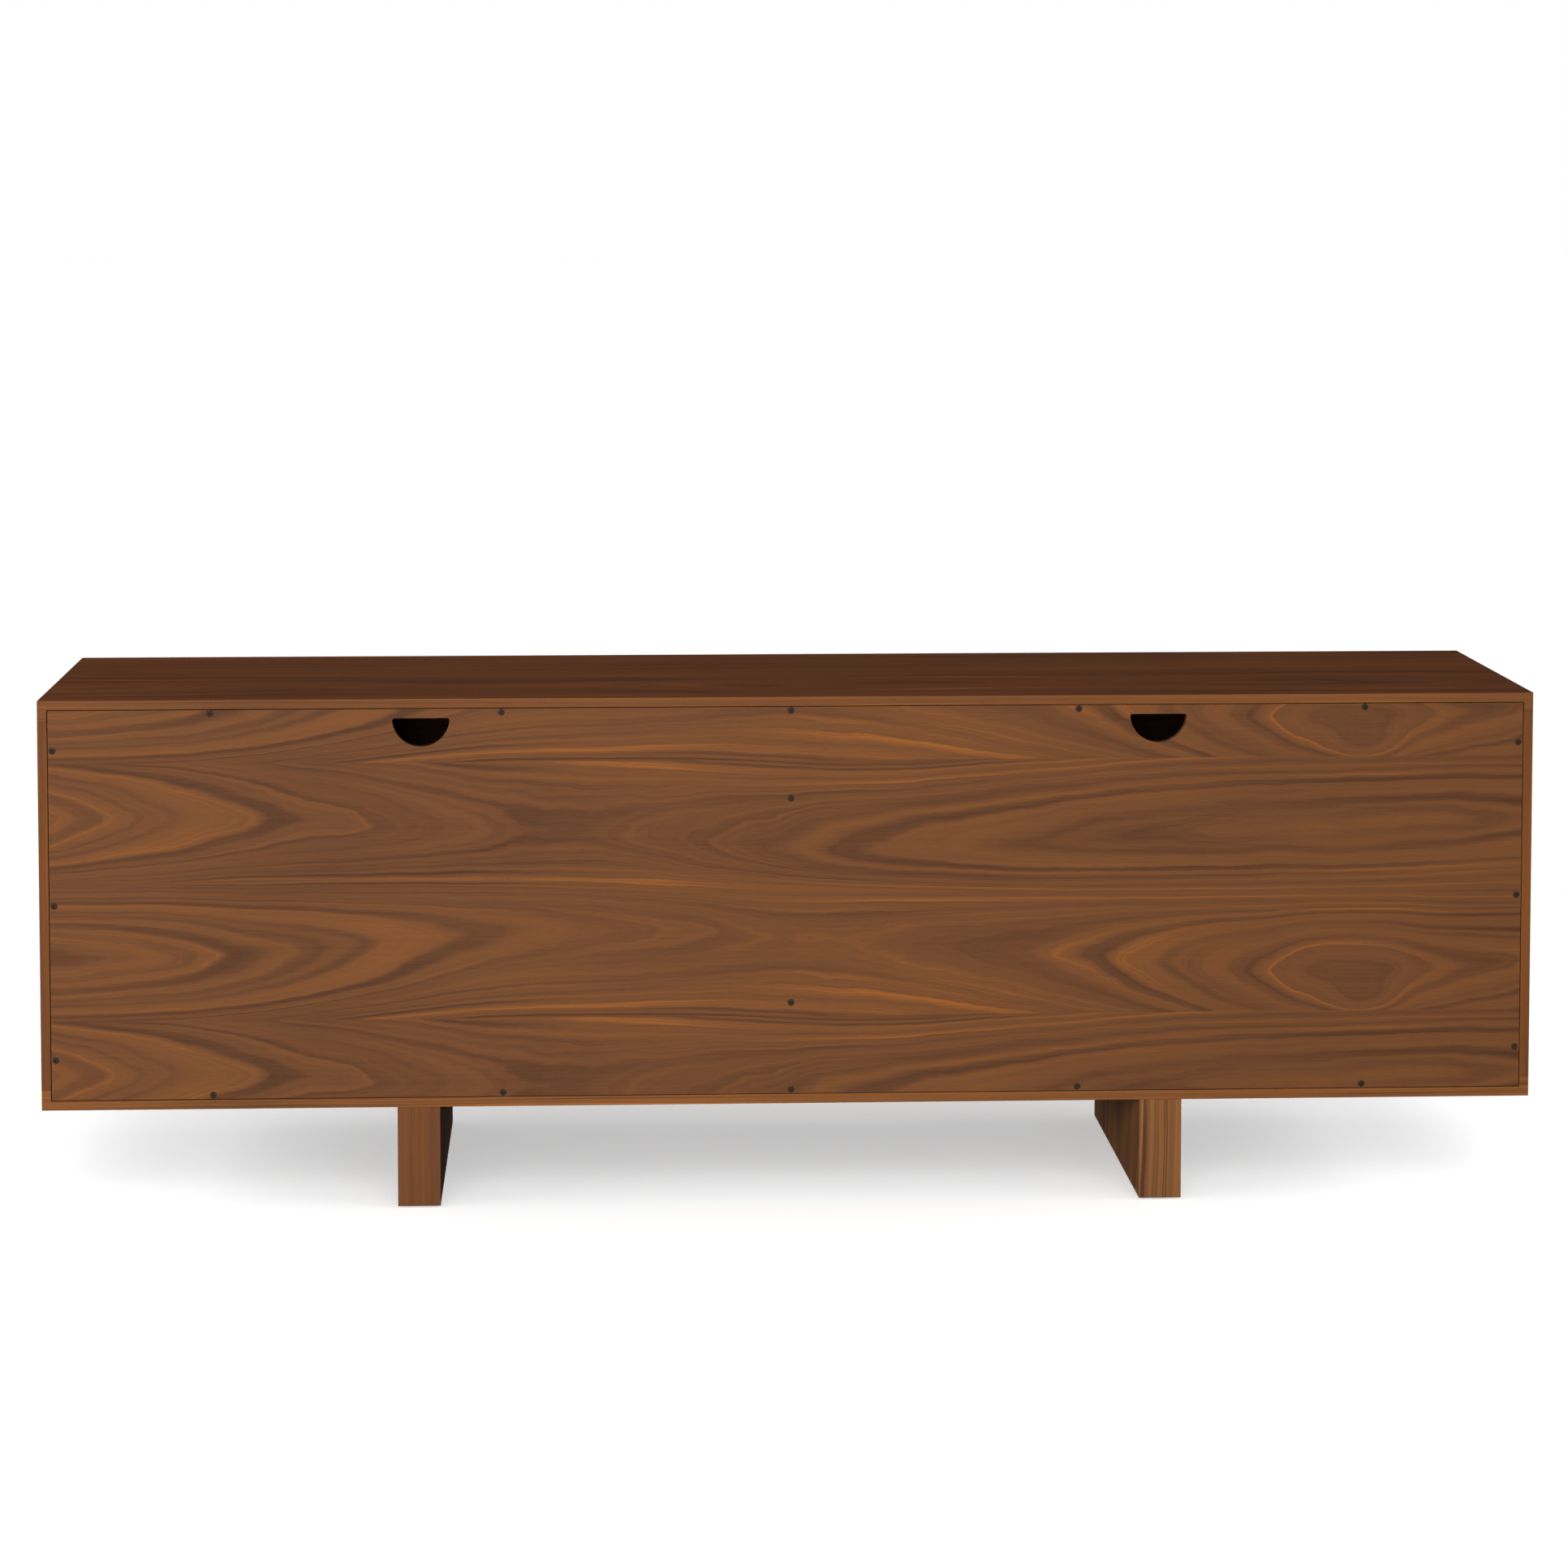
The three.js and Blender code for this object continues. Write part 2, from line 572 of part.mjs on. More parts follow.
// The lower profile: a strip at the bottom of its groove, with a rail under each door.
function runningTrack() {
  const low = FLOOR_Z - LOWER_GROOVE_DEPTH;
  const base = low + TRACK_WALL;
  const outline = [[TRACK_REAR_Y, low], [TRACK_REAR_Y, base]];
  for (const y of [REAR_DOOR_Y, FRONT_DOOR_Y]) {
    const half = RAIL_WIDTH / 2;
    outline.push([y + half, base], [y + half, RAIL_TOP_Z]);
    outline.push([y - half, RAIL_TOP_Z], [y - half, base]);
  }
  outline.push([TRACK_FRONT_Y, base], [TRACK_FRONT_Y, low]);
  return solid(rod(outline.reverse(), 2 * (INNER_HALF - GAP)));
}

// ---------------------------------------------------------------- a door and what it carries

// A door's own origin is the middle of its underside, in the middle of its thickness.
const ROLLER_XS = [-1, 1].map((sign) => sign * (DOOR_WIDTH / 2 - ROLLER_INSET));
const PULL_Z = DOOR_HEIGHT / 2;
const DOOR_LOW_Z = FLOOR_Z + DOOR_BOTTOM_GAP;
const DOOR_FACE_Y = -DOOR_THICKNESS / 2;

function doorLeaf(pullX) {
  const half = DOOR_WIDTH / 2;
  const tongueHalf = TONGUE_THICKNESS / 2;
  const leaf = block([-half, DOOR_FACE_Y, 0], [half, -DOOR_FACE_Y, DOOR_HEIGHT]);
  const tongue = block(
    [-half, -tongueHalf, DOOR_HEIGHT / 2],
    [half, tongueHalf, DOOR_HEIGHT + TONGUE_HEIGHT],
  );
  const pullShape = slotShape(PULL_HALF_STRAIGHT, PULL_RADIUS + GAP);
  const [pullStart, pullEnd] = [DOOR_FACE_Y - OVERSHOOT, DOOR_FACE_Y + PULL_DEPTH + GAP];
  const pullPocket = slab(pullShape, pullStart, pullEnd, PULL_ARC_STEPS);
  const pocketX = HOUSING_LENGTH / 2 + GAP;
  const pocketY = HOUSING_WIDTH / 2 + GAP;
  const pockets = ROLLER_XS.map((x) => block(
    [x - pocketX, -pocketY, -OVERSHOOT],
    [x + pocketX, pocketY, HOUSING_HEIGHT + 2 * GAP],
  ));
  const whole = solid(leaf).add(solid(tongue));
  const tools = [pullPocket.translate(pullX, 0, PULL_Z), ...pockets];
  return tools.reduce((body, tool) => body.subtract(solid(tool)), whole);
}

// The finger pull is a flush cup with a thin rim, its rim's back on y = 0.
function fingerPull() {
  const flangeShape = slotShape(PULL_HALF_STRAIGHT, PULL_RADIUS + PULL_FLANGE);
  const cupShape = slotShape(PULL_HALF_STRAIGHT, PULL_RADIUS);
  const hollowShape = slotShape(PULL_HALF_STRAIGHT, PULL_RADIUS - PULL_WALL);
  const flange = solid(slab(flangeShape, -PULL_FLANGE_THICKNESS, 0, PULL_ARC_STEPS));
  const cup = solid(slab(cupShape, -PULL_FLANGE_THICKNESS / 2, PULL_DEPTH, PULL_ARC_STEPS));
  const [hollowStart, hollowEnd] = [-PULL_FLANGE_THICKNESS - OVERSHOOT, PULL_DEPTH - PULL_WALL];
  const hollow = solid(slab(hollowShape, hollowStart, hollowEnd, PULL_ARC_STEPS));
  return flange.add(cup).subtract(hollow);
}

// A roller's housing fills its pocket, with a slot for the wheel and holes for its axle.
function rollerHousing() {
  const [x, y] = [HOUSING_LENGTH / 2, HOUSING_WIDTH / 2];
  const body = block([-x, -y, 0], [x, y, HOUSING_HEIGHT]);
  const [slotX, slotY] = [WHEEL_SLOT_LENGTH / 2, WHEEL_SLOT_WIDTH / 2];
  const slot = block([-slotX, -slotY, -OVERSHOOT], [slotX, slotY, WHEEL_SLOT_HEIGHT]);
  const axleHole = cylinder(AXLE_HOLE_RADIUS, -HOUSING_WIDTH, HOUSING_WIDTH, ROUND_SIDES);
  const axleZ = WHEEL_Z - DOOR_LOW_Z - GAP;
  return cut(body, [slot, axleHole.rotateX(Math.PI / 2).translate(0, 0, axleZ)]);
}

// A grooved wheel with its axle, turning about Y.
function rollerWheel() {
  const rim = WHEEL_WIDTH / 2;
  const tread = TREAD_WIDTH / 2;
  const rimEdge = rim - RIM_FLAT;
  const half = AXLE_LENGTH / 2;
  const profile = [
    [0, -half],
    [AXLE_RADIUS, -half],
    [AXLE_RADIUS, -rim],
    [WHEEL_RIM_RADIUS, -rim],
    [WHEEL_RIM_RADIUS, -rimEdge],
    [WHEEL_TREAD_RADIUS, -tread],
    [WHEEL_TREAD_RADIUS, tread],
    [WHEEL_RIM_RADIUS, rimEdge],
    [WHEEL_RIM_RADIUS, rim],
    [AXLE_RADIUS, rim],
    [AXLE_RADIUS, half],
    [0, half],
  ];
  return solid(turned(profile, ROUND_SIDES).rotateX(-Math.PI / 2));
}

// ---------------------------------------------------------------- assembly

// A named mesh with a material of its own, put into a group.
function add(group, name, body, finish, place = [0, 0, 0], rotation = [0, 0, 0]) {
  const material = new THREE.MeshStandardMaterial(FINISHES[finish]);
  const mesh = new THREE.Mesh(geometryOf(body), material);
  mesh.name = name;
  mesh.position.set(...place);
  mesh.rotation.set(...rotation);
  group.add(mesh);
}

function buildCase(cabinet) {
  add(cabinet, 'top_panel', topBoard(), 'veneer');
  add(cabinet, 'bottom_panel', bottomBoard(), 'veneer');
  add(cabinet, 'left_side_panel', sideBoard('left', -1), 'veneer');
  add(cabinet, 'right_side_panel', sideBoard('right', 1), 'veneer');
  add(cabinet, 'centre_divider', dividerBoard(), 'veneer');
  add(cabinet, 'back_panel', backPanel(), 'veneer');
  add(cabinet, 'upper_guide_channel', guideChannel(), 'aluminium');
  add(cabinet, 'lower_running_track', runningTrack(), 'aluminium');
  for (const { name, x, z } of SCREWS) {
    const turn = [-Math.PI / 2, 0, 0];
    add(cabinet, `back_screw_${name}`, woodScrew(), 'blackSteel', [x, SCREW_HEAD_Y, z], turn);
  }
}

function buildLegs(cabinet) {
  add(cabinet, 'left_leg', plankLeg('left', -1), 'solidWalnut');
  add(cabinet, 'right_leg', plankLeg('right', 1), 'solidWalnut');
  for (const { name, x, y } of BOLTS) {
    add(cabinet, `leg_bolt_${name}`, legBolt(), 'zincSteel', [x, y, BOLT_TOP_Z]);
  }
  for (const { name, x, y } of GLIDES) {
    add(cabinet, `foot_glide_${name}`, footGlide(), 'blackPlastic', [x, y, 0]);
  }
}

// Each shelf and its four pins. A pin points into the bay from the board that holds it.
function buildShelves(cabinet) {
  for (const [side, sign] of [['left', -1], ['right', 1]]) {
    const place = [sign * BAY_CENTRE_X, 0, SHELF_UNDERSIDE_Z];
    add(cabinet, `${side}_shelf`, shelfBoard(), 'veneer', place);
    for (const [end, x, away] of [['outer', INNER_HALF, 1], ['inner', BOARD / 2, -1]]) {
      for (const [depth, y] of [['front', PIN_YS[0]], ['rear', PIN_YS[1]]]) {
        const name = `${side}_shelf_pin_${end}_${depth}`;
        const turn = [0, (-sign * away * Math.PI) / 2, 0];
        add(cabinet, name, shelfPin(), 'zincSteel', [sign * x, y, PIN_Z], turn);
      }
    }
  }
}

// A door with its pull, two housings and two wheels, in a group that stands at its place. The
// door's tongue starts at mid height inside the leaf, so the two join into one solid.
function buildDoor(cabinet, side, sign, y) {
  const door = new THREE.Group();
  const closedX = sign * (INNER_HALF - DOOR_SIDE_GAP - DOOR_WIDTH / 2);
  door.position.set(closedX, y, DOOR_LOW_Z);
  cabinet.add(door);
  const pullX = sign * (DOOR_WIDTH / 2 - PULL_INSET);
  add(door, `${side}_door`, doorLeaf(pullX), 'veneer');
  add(door, `${side}_finger_pull`, fingerPull(), 'blackSteel', [pullX, DOOR_FACE_Y, PULL_Z]);
  ROLLER_XS.forEach((x, i) => {
    const wheelPlace = [x, 0, WHEEL_Z - DOOR_LOW_Z];
    add(door, `${side}_roller_housing_${i + 1}`, rollerHousing(), 'blackPlastic', [x, 0, GAP]);
    add(door, `${side}_roller_wheel_${i + 1}`, rollerWheel(), 'nylon', wheelPlace);
  });
}

// The stop is on the side board, level with the middle of the door that it takes.
function buildStop(cabinet, side, sign, y) {
  const place = [sign * INNER_HALF, y, DOOR_LOW_Z + DOOR_HEIGHT / 2];
  const turn = [0, (-sign * Math.PI) / 2, 0];
  add(cabinet, `${side}_door_stop`, doorStop(), 'rubber', place, turn);
}

const cabinet = new THREE.Group();
buildCase(cabinet);
buildLegs(cabinet);
buildShelves(cabinet);
buildDoor(cabinet, 'left', -1, FRONT_DOOR_Y);
buildDoor(cabinet, 'right', 1, REAR_DOOR_Y);
buildStop(cabinet, 'left', -1, FRONT_DOOR_Y);
buildStop(cabinet, 'right', 1, REAR_DOOR_Y);

export default cabinet;
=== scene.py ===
"""A long walnut media cabinet on two plank legs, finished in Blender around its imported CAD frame.

Every board, leg, door and piece of hardware stands for one CAD node and takes its place from it.
Metres, +Z up. The front faces -Y, so the screwed back panel faces +Y.
"""

import json
import math

import bmesh
import bpy
from mathutils import Matrix, Vector

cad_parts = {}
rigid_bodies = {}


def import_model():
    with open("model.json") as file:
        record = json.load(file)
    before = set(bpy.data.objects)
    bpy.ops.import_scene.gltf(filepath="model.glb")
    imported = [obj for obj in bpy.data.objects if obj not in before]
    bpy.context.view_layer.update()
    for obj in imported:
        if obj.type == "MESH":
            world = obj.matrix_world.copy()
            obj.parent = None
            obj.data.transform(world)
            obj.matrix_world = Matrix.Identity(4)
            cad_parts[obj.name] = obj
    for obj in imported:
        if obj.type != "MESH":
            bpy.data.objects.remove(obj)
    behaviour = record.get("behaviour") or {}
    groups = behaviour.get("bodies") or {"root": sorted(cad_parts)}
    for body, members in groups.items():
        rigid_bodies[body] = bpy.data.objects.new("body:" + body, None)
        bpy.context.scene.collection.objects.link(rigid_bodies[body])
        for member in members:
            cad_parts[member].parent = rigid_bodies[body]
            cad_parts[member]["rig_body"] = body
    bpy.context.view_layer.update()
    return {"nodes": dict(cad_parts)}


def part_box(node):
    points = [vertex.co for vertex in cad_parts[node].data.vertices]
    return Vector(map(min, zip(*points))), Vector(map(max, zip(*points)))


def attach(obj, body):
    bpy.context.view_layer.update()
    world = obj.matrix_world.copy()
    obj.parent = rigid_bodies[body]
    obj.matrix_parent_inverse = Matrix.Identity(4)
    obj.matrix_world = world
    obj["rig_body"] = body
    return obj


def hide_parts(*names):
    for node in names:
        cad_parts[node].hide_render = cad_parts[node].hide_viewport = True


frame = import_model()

MM = 0.001
SIDES = ("left", "right")

# ------------------------------------------------------------------ the frame's own measures


def centre_of(node):
    low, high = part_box(node)
    return (low + high) / 2


def size_of(node):
    low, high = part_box(node)
    return high - low


def nodes_named(start):
    return sorted(name for name in frame["nodes"] if name.startswith(start))


CASE_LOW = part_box("bottom_panel")[0]
CASE_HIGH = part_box("top_panel")[1]
PANEL_LOW, PANEL_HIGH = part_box("back_panel")
CASE_WIDTH = CASE_HIGH.x - CASE_LOW.x
BAY_CENTRE = centre_of("right_shelf").x

# ------------------------------------------------------------------ node trees from plain sums

# Where a Mix node keeps its two numbers and its two colours, and gives the mixed colour.
MIX_NUMBERS = slice(2, 4)
MIX_COLOURS = slice(6, 8)
MIXED_COLOUR = 2


class Value:
    """A number that varies over a surface. Arithmetic on it adds Math nodes to its graph."""

    def __init__(self, graph, socket):
        self.graph = graph
        self.socket = socket

    def __add__(self, other):
        return self.graph.math("ADD", self, other)

    def __sub__(self, other):
        return self.graph.math("SUBTRACT", self, other)

    def __rsub__(self, other):
        return self.graph.math("SUBTRACT", other, self)

    def __mul__(self, other):
        return self.graph.math("MULTIPLY", self, other)

    def __truediv__(self, other):
        return self.graph.math("DIVIDE", self, other)

    def squared(self):
        return self * self

    def root(self):
        return self.graph.math("SQRT", self)


class Graph:
    """The node tree of one material, built from Values."""

    def __init__(self, name):
        self.material = bpy.data.materials.new(name)
        self.material.use_nodes = True
        self.tree = self.material.node_tree
        self.tree.nodes.clear()

    def node(self, kind, **settings):
        made = self.tree.nodes.new(kind)
        for key, value in settings.items():
            setattr(made, key, value)
        return made

    def feed(self, socket, value):
        if isinstance(value, Value):
            self.tree.links.new(value.socket, socket)
        else:
            socket.default_value = value

    def math(self, operation, *values):
        made = self.node("ShaderNodeMath", operation=operation)
        for socket, value in zip(made.inputs, values):
            self.feed(socket, value)
        return Value(self, made.outputs[0])

    def place(self):
        """The point's place in the cabinet's frame, as three Values."""
        coordinates = self.node("ShaderNodeTexCoord")
        split = self.node("ShaderNodeSeparateXYZ")
        self.tree.links.new(coordinates.outputs["Object"], split.inputs[0])
        return [Value(self, socket) for socket in split.outputs]

    def vector(self, x, y, z=0.0):
        made = self.node("ShaderNodeCombineXYZ")
        for socket, value in zip(made.inputs, (x, y, z)):
            self.feed(socket, value)
        return Value(self, made.outputs[0])

    def scaled(self, place, scale):
        """A vector of the place's two or three coordinates, each times its own scale."""
        return self.vector(*[value * times for value, times in zip(place, scale)])

    def noise(self, vector, detail=2.0, roughness=0.5):
        """Smooth noise from 0 to 1, one lump per unit of the vector."""
        made = self.node("ShaderNodeTexNoise")
        made.inputs["Scale"].default_value = 1.0
        made.inputs["Detail"].default_value = detail
        made.inputs["Roughness"].default_value = roughness
        self.feed(made.inputs["Vector"], vector)
        return Value(self, made.outputs[0])

    def ramp(self, value, low, high, start=0.0, end=1.0):
        """Eases from start to end while value goes from low to high."""
        made = self.node("ShaderNodeMapRange", interpolation_type="SMOOTHSTEP")
        for socket, number in zip(made.inputs, (value, low, high, start, end)):
            self.feed(socket, number)
        return Value(self, made.outputs[0])

    def curve(self, value, points):
        """A smooth curve through a few points, for a value from 0 to 1. The ends come first."""
        made = self.node("ShaderNodeFloatCurve")
        line = made.mapping.curves[0]
        for index, (x, y) in enumerate(points):
            if index < 2:
                line.points[index].location = (x, y)
            else:
                line.points.new(x, y)
        made.mapping.update()
        self.feed(made.inputs["Value"], value)
        return Value(self, made.outputs[0])

    def blend(self, factor, first, second):
        """A number between first and second."""
        made = self.node("ShaderNodeMix", data_type="FLOAT")
        self.feed(made.inputs[0], factor)
        for socket, value in zip(made.inputs[MIX_NUMBERS], (first, second)):
            self.feed(socket, value)
        return Value(self, made.outputs[0])

    def palette(self, value, stops):
        """The colour at value, from a list of (position, colour). The two ends come first."""
        made = self.node("ShaderNodeValToRGB")
        elements = made.color_ramp.elements
        for index, (position, colour) in enumerate(stops):
            element = elements[index] if index < 2 else elements.new(position)
            element.position = position
            element.color = (*colour, 1.0)
        self.feed(made.inputs[0], value)
        return Value(self, made.outputs[0])

    def mix(self, factor, first, second, blend="MIX"):
        made = self.node("ShaderNodeMix", data_type="RGBA", blend_type=blend)
        self.feed(made.inputs[0], factor)
        for socket, colour in zip(made.inputs[MIX_COLOURS], (first, second)):
            self.feed(socket, colour if isinstance(colour, Value) else (*colour, 1.0))
        return Value(self, made.outputs[MIXED_COLOUR])

    def finish(self, colour, roughness, height, bump_depth, **uniform):
        """Links the surface to a Principled shader. Keywords are its uniform sockets."""
        shader = self.node("ShaderNodeBsdfPrincipled")
        for key, value in uniform.items():
            shader.inputs[key.replace("_", " ")].default_value = value
        self.feed(shader.inputs["Base Color"], colour)
        self.feed(shader.inputs["Roughness"], roughness)
        bump = self.node("ShaderNodeBump")
        bump.inputs["Distance"].default_value = bump_depth
        self.feed(bump.inputs["Height"], height)
        self.tree.links.new(bump.outputs[0], shader.inputs["Normal"])
        output = self.node("ShaderNodeOutputMaterial")
        self.tree.links.new(shader.outputs[0], output.inputs[0])
        return self.material


def linear(red, green, blue):
    """An sRGB colour in its usual 0 to 255 steps, as the linear light that shaders use.

    The other numbers are those of sRGB's own curve.
    """
    shares = [channel / 255 for channel in (red, green, blue)]
    return tuple(s / 12.92 if s <= 0.04045 else ((s + 0.055) / 1.055) ** 2.4 for s in shares)


# ------------------------------------------------------------------ walnut

# Heartwood colours, from the dark late wood of a ring to the orange early wood.
LATE_WOOD = linear(65, 41, 25)
DARK_WOOD = linear(89, 56, 34)
MID_WOOD = linear(107, 67, 39)
LIGHT_WOOD = linear(118, 73, 39)
ORANGE_WOOD = linear(145, 86, 38)
WOOD_PALETTE = [
    (0.0, LATE_WOOD), (1.0, ORANGE_WOOD), (0.24, DARK_WOOD), (0.48, MID_WOOD), (0.7, LIGHT_WOOD),
]
WOOD_SPECULAR = 0.08
WOOD_ROUGHNESS = (0.56, 0.68)
NO_TINT = (1.0, 1.0, 1.0)

# The middle of a noise, and of the palette.
MIDDLE = 0.5

# Scales of the wood's noises: lumps to a metre along the grain, then to a ring or to a metre
# across it, then to a metre of depth.
RING_STRENGTH_SCALE = (1.4, 3.17, 3.0)
DRIFT_SCALE = (0.8, 0.3, 2.0)
BAND_SCALE = (1.0, 0.9, 3.0)
HAIR_SCALE = (2.5, 6.0, 3.0)
STREAK_SCALE = (2.0, 1.0, 3.0)
PATCH_SCALE = (2.2, 6.0, 5.0)
FIBRE_SCALE = (9.0, 420.0, 420.0)
PORE_SCALE = (60.0, 1500.0, 1500.0)
PLANK_WANDER_SCALE = (1.6, 3.0, 3.0)
PLANK_RIPPLE_SCALE = (11.0, 40.0, 40.0)

# Growth rings.
RING_STRENGTH_RANGE = (0.4, 0.68)
RING_SHADE_POWER = 2.2
RING_LINE_START = 0.82
DRIFT_IN_RINGS = 2.6
NARROW_STRETCH = 1.7
NARROW_PER_RING = 2.7
NARROW_SHIFT = 40.0
STREAKS_PER_RING = 2.3
STREAK_SHIFT = 90.0
STREAK_RANGE = (0.55, 0.78)

# How strongly each kind of line or grain shows.
HAIR_STRENGTH = 0.45
LATE_STRENGTH = 0.42
NARROW_STRENGTH = 0.2
STREAK_STRENGTH = 0.42
PATCH_STRENGTH = 0.5
FIBRE_STRENGTH = 0.34
FIBRE_RANGE = (0.2, 0.8)
FIBRE_DEPTH = 0.12 * MM
PORE_RANGE = (0.62, 0.75)
PORE_DARKNESS = 0.18
PORE_ROUGHNESS = 0.1
PORE_DEPTH_SHARE = 0.6
RIPPLE_SHARE = 0.06

# Edging: where its log's heart is, its ring width and how far its rings wander.
EDGING_HEART = (0.2, 3.0)
EDGING_PITCH = 5 * MM
EDGING_BEND = 12 * MM


def ring_lines(graph, along, ring, depth):
    """The late wood of each growth ring, from 0 to 1.

    A ring darkens slowly outwards and ends at a crisper line, where the next one starts light.
    Each ring has its own strength, which comes and goes along the grain.
    """
    number = graph.math("FLOOR", ring)
    outward = ring - number
    strength = graph.noise(graph.scaled((along, number, depth), RING_STRENGTH_SCALE), detail=1.0)
    strength = graph.ramp(strength, *RING_STRENGTH_RANGE)
    shade = graph.math("POWER", outward, RING_SHADE_POWER)
    return shade * graph.ramp(outward, 1.0, RING_LINE_START) * strength


def wood_lines(graph, along, ring, depth):
    """How light (above 0) or dark (below 0) the growth rings make the wood.

    Broad bands come first, then hair lines, then the late wood of wide and of narrow rings, and
    last a few light streaks.
    """
    drift = graph.noise(graph.scaled((along, ring, depth), DRIFT_SCALE), detail=1.0) - MIDDLE
    ring = ring + drift * DRIFT_IN_RINGS
    place = (along, ring, depth)
    bands = graph.noise(graph.scaled(place, BAND_SCALE)) - MIDDLE
    hairs = graph.noise(graph.scaled(place, HAIR_SCALE), roughness=0.6) - MIDDLE
    late = ring_lines(graph, along, ring, depth)
    narrow_ring = ring * NARROW_PER_RING + NARROW_SHIFT
    narrow = ring_lines(graph, along * NARROW_STRETCH, narrow_ring, depth)
    streak_ring = ring * STREAKS_PER_RING + STREAK_SHIFT
    streaks = graph.noise(graph.scaled((along, streak_ring, depth), STREAK_SCALE))
    streaks = graph.ramp(streaks, *STREAK_RANGE)
    dark = late * LATE_STRENGTH + narrow * NARROW_STRENGTH
    return bands + hairs * HAIR_STRENGTH - dark + streaks * STREAK_STRENGTH


def walnut_surface(graph, along, ring, across, depth, tint, contrast=1.0, figure=0.0):
    """The colour, roughness and height of walnut at a point, from its ring coordinate.

    ring counts growth rings; along, across and depth are places in metres. figure lightens or
    darkens broad bands of the wood.
    """
    place = (along, across, depth)
    patches = graph.noise(graph.scaled(place, PATCH_SCALE)) - MIDDLE
    fibres = graph.noise(graph.scaled(place, FIBRE_SCALE), detail=3.0, roughness=0.6)
    pores = graph.noise(graph.scaled(place, PORE_SCALE), detail=1.0)
    pores = graph.ramp(pores, *PORE_RANGE)
    lines = wood_lines(graph, along, ring, depth) * contrast + figure
    grain = patches * PATCH_STRENGTH + (fibres - MIDDLE) * FIBRE_STRENGTH
    wood = graph.palette(lines + grain + MIDDLE, WOOD_PALETTE)
    wood = graph.mix(pores * PORE_DARKNESS, wood, LATE_WOOD)
    wood = graph.mix(1.0, wood, tint, "MULTIPLY")
    roughness = graph.ramp(fibres, *FIBRE_RANGE, *WOOD_ROUGHNESS) + pores * PORE_ROUGHNESS
    return wood, roughness, fibres - pores * PORE_DEPTH_SHARE


def finish_wood(graph, surface):
    wood, roughness, height = surface
    return graph.finish(wood, roughness, height, FIBRE_DEPTH, Specular_IOR_Level=WOOD_SPECULAR)


def plank(name, grain, heart, pitch, tint, bend=50 * MM, contrast=1.0):
    """Wood cut from one log: rings lie round a heart line that runs along the grain axis.

    heart gives where that line is, in the two other axes; pitch is the mean ring width, bend is
    how far the rings wander from true circles, and contrast is how boldly they are marked.
    """
    graph = Graph(name)
    place = graph.place()
    along = place.pop(grain)
    across, depth = place
    wander = graph.noise(graph.scaled((along, across, depth), PLANK_WANDER_SCALE)) - MIDDLE
    ripple = graph.noise(graph.scaled((along, across, depth), PLANK_RIPPLE_SCALE)) - MIDDLE
    reach = ((across - heart[0]).squared() + (depth - heart[1]).squared()).root()
    ring = (reach + (wander + ripple * RIPPLE_SHARE) * bend) / pitch
    return finish_wood(graph, walnut_surface(graph, along, ring, across, depth, tint, contrast))


def edging(name, grain, tint):
    """Straight-grained edging, glued to a board's narrow faces."""
    return plank(name, grain, EDGING_HEART, EDGING_PITCH, tint, EDGING_BEND)


# The back panel is faced with leaves of veneer laid one below another, each cut from the same
# flitch, so the figure repeats. In each leaf the cut passes over two hearts of the log, an upper
# and a lower one, with a saddle between them.
LEAF_HEIGHT = 316 * MM
UPPER_SEAM = CASE_HIGH.z - 78 * MM

# Lines along the leaf, in millimetres, from its +X end (0) to its -X end (1). The first three say
# how far the hearts and the saddle lie below the seam. The last two say how deep in the log the
# cut passes over each heart: where that grows, the ring lines close to a point.
UPPER_HEART = [(0, 68), (1, 78), (0.16, 70), (0.35, 86), (0.54, 110), (0.66, 102), (0.78, 90)]
SADDLE = [(0, 150), (1, 168), (0.3, 146), (0.55, 158), (0.75, 166)]
LOWER_HEART = [(0, 236), (1, 252), (0.12, 235), (0.32, 210), (0.5, 216), (0.7, 245), (0.86, 266)]
UPPER_DEPTH = [
    (0, 14), (1, 42), (0.045, 32), (0.09, 48), (0.145, 66), (0.22, 80), (0.35, 98),
    (0.47, 82), (0.54, 68), (0.6, 56), (0.66, 47), (0.73, 40), (0.82, 37),
]
LOWER_DEPTH = [
    (0, 4), (1, 32), (0.08, 14), (0.14, 28), (0.23, 52), (0.285, 67), (0.38, 80), (0.52, 92),
    (0.64, 80), (0.7, 67), (0.75, 50), (0.81, 26), (0.875, 3), (0.94, 20),
]
SADDLE_DEPTH = 150 * MM
SEAM_SIDE_WIDTH = 96 * MM
HEART_BLUNTNESS = 9 * MM
HEART_SOFTENING = 10 * MM
HEART_PITCH = 10 * MM

# A curve only holds values from 0 to 1, so the lines' metres are shares of this length there.
CURVE_UNIT = 0.4

# The depth rises from a heart to the saddle partly steadily, partly by this power of the way.
STEADY_RISE = 0.35
RISE_POWER = 3.0

# How far the rings of the veneer wander and ripple, and how many lumps to a metre that has along
# the leaf and down it.
WANDER = 15 * MM
WANDER_SCALE = (3.5, 9.0)
RIPPLE = 6 * MM
RIPPLE_SCALE = (14.0, 40.0)

# The rings are marked calmly where the cut is shallow, and boldly where it is deep.
CALM_DEPTH = 60 * MM
BOLD_DEPTH = 140 * MM
CALM_CONTRAST = 0.55
BOLD_CONTRAST = 1.05

# A knot just short of the lower seam draws the ring lines round the lower heart down to a point.
KNOT_X = -0.387 * CASE_WIDTH
KNOT_BELOW = 306 * MM
KNOT_HALF_LENGTH = 75 * MM
KNOT_HALF_HEIGHT = 42 * MM
KNOT_PULL = 14 * MM

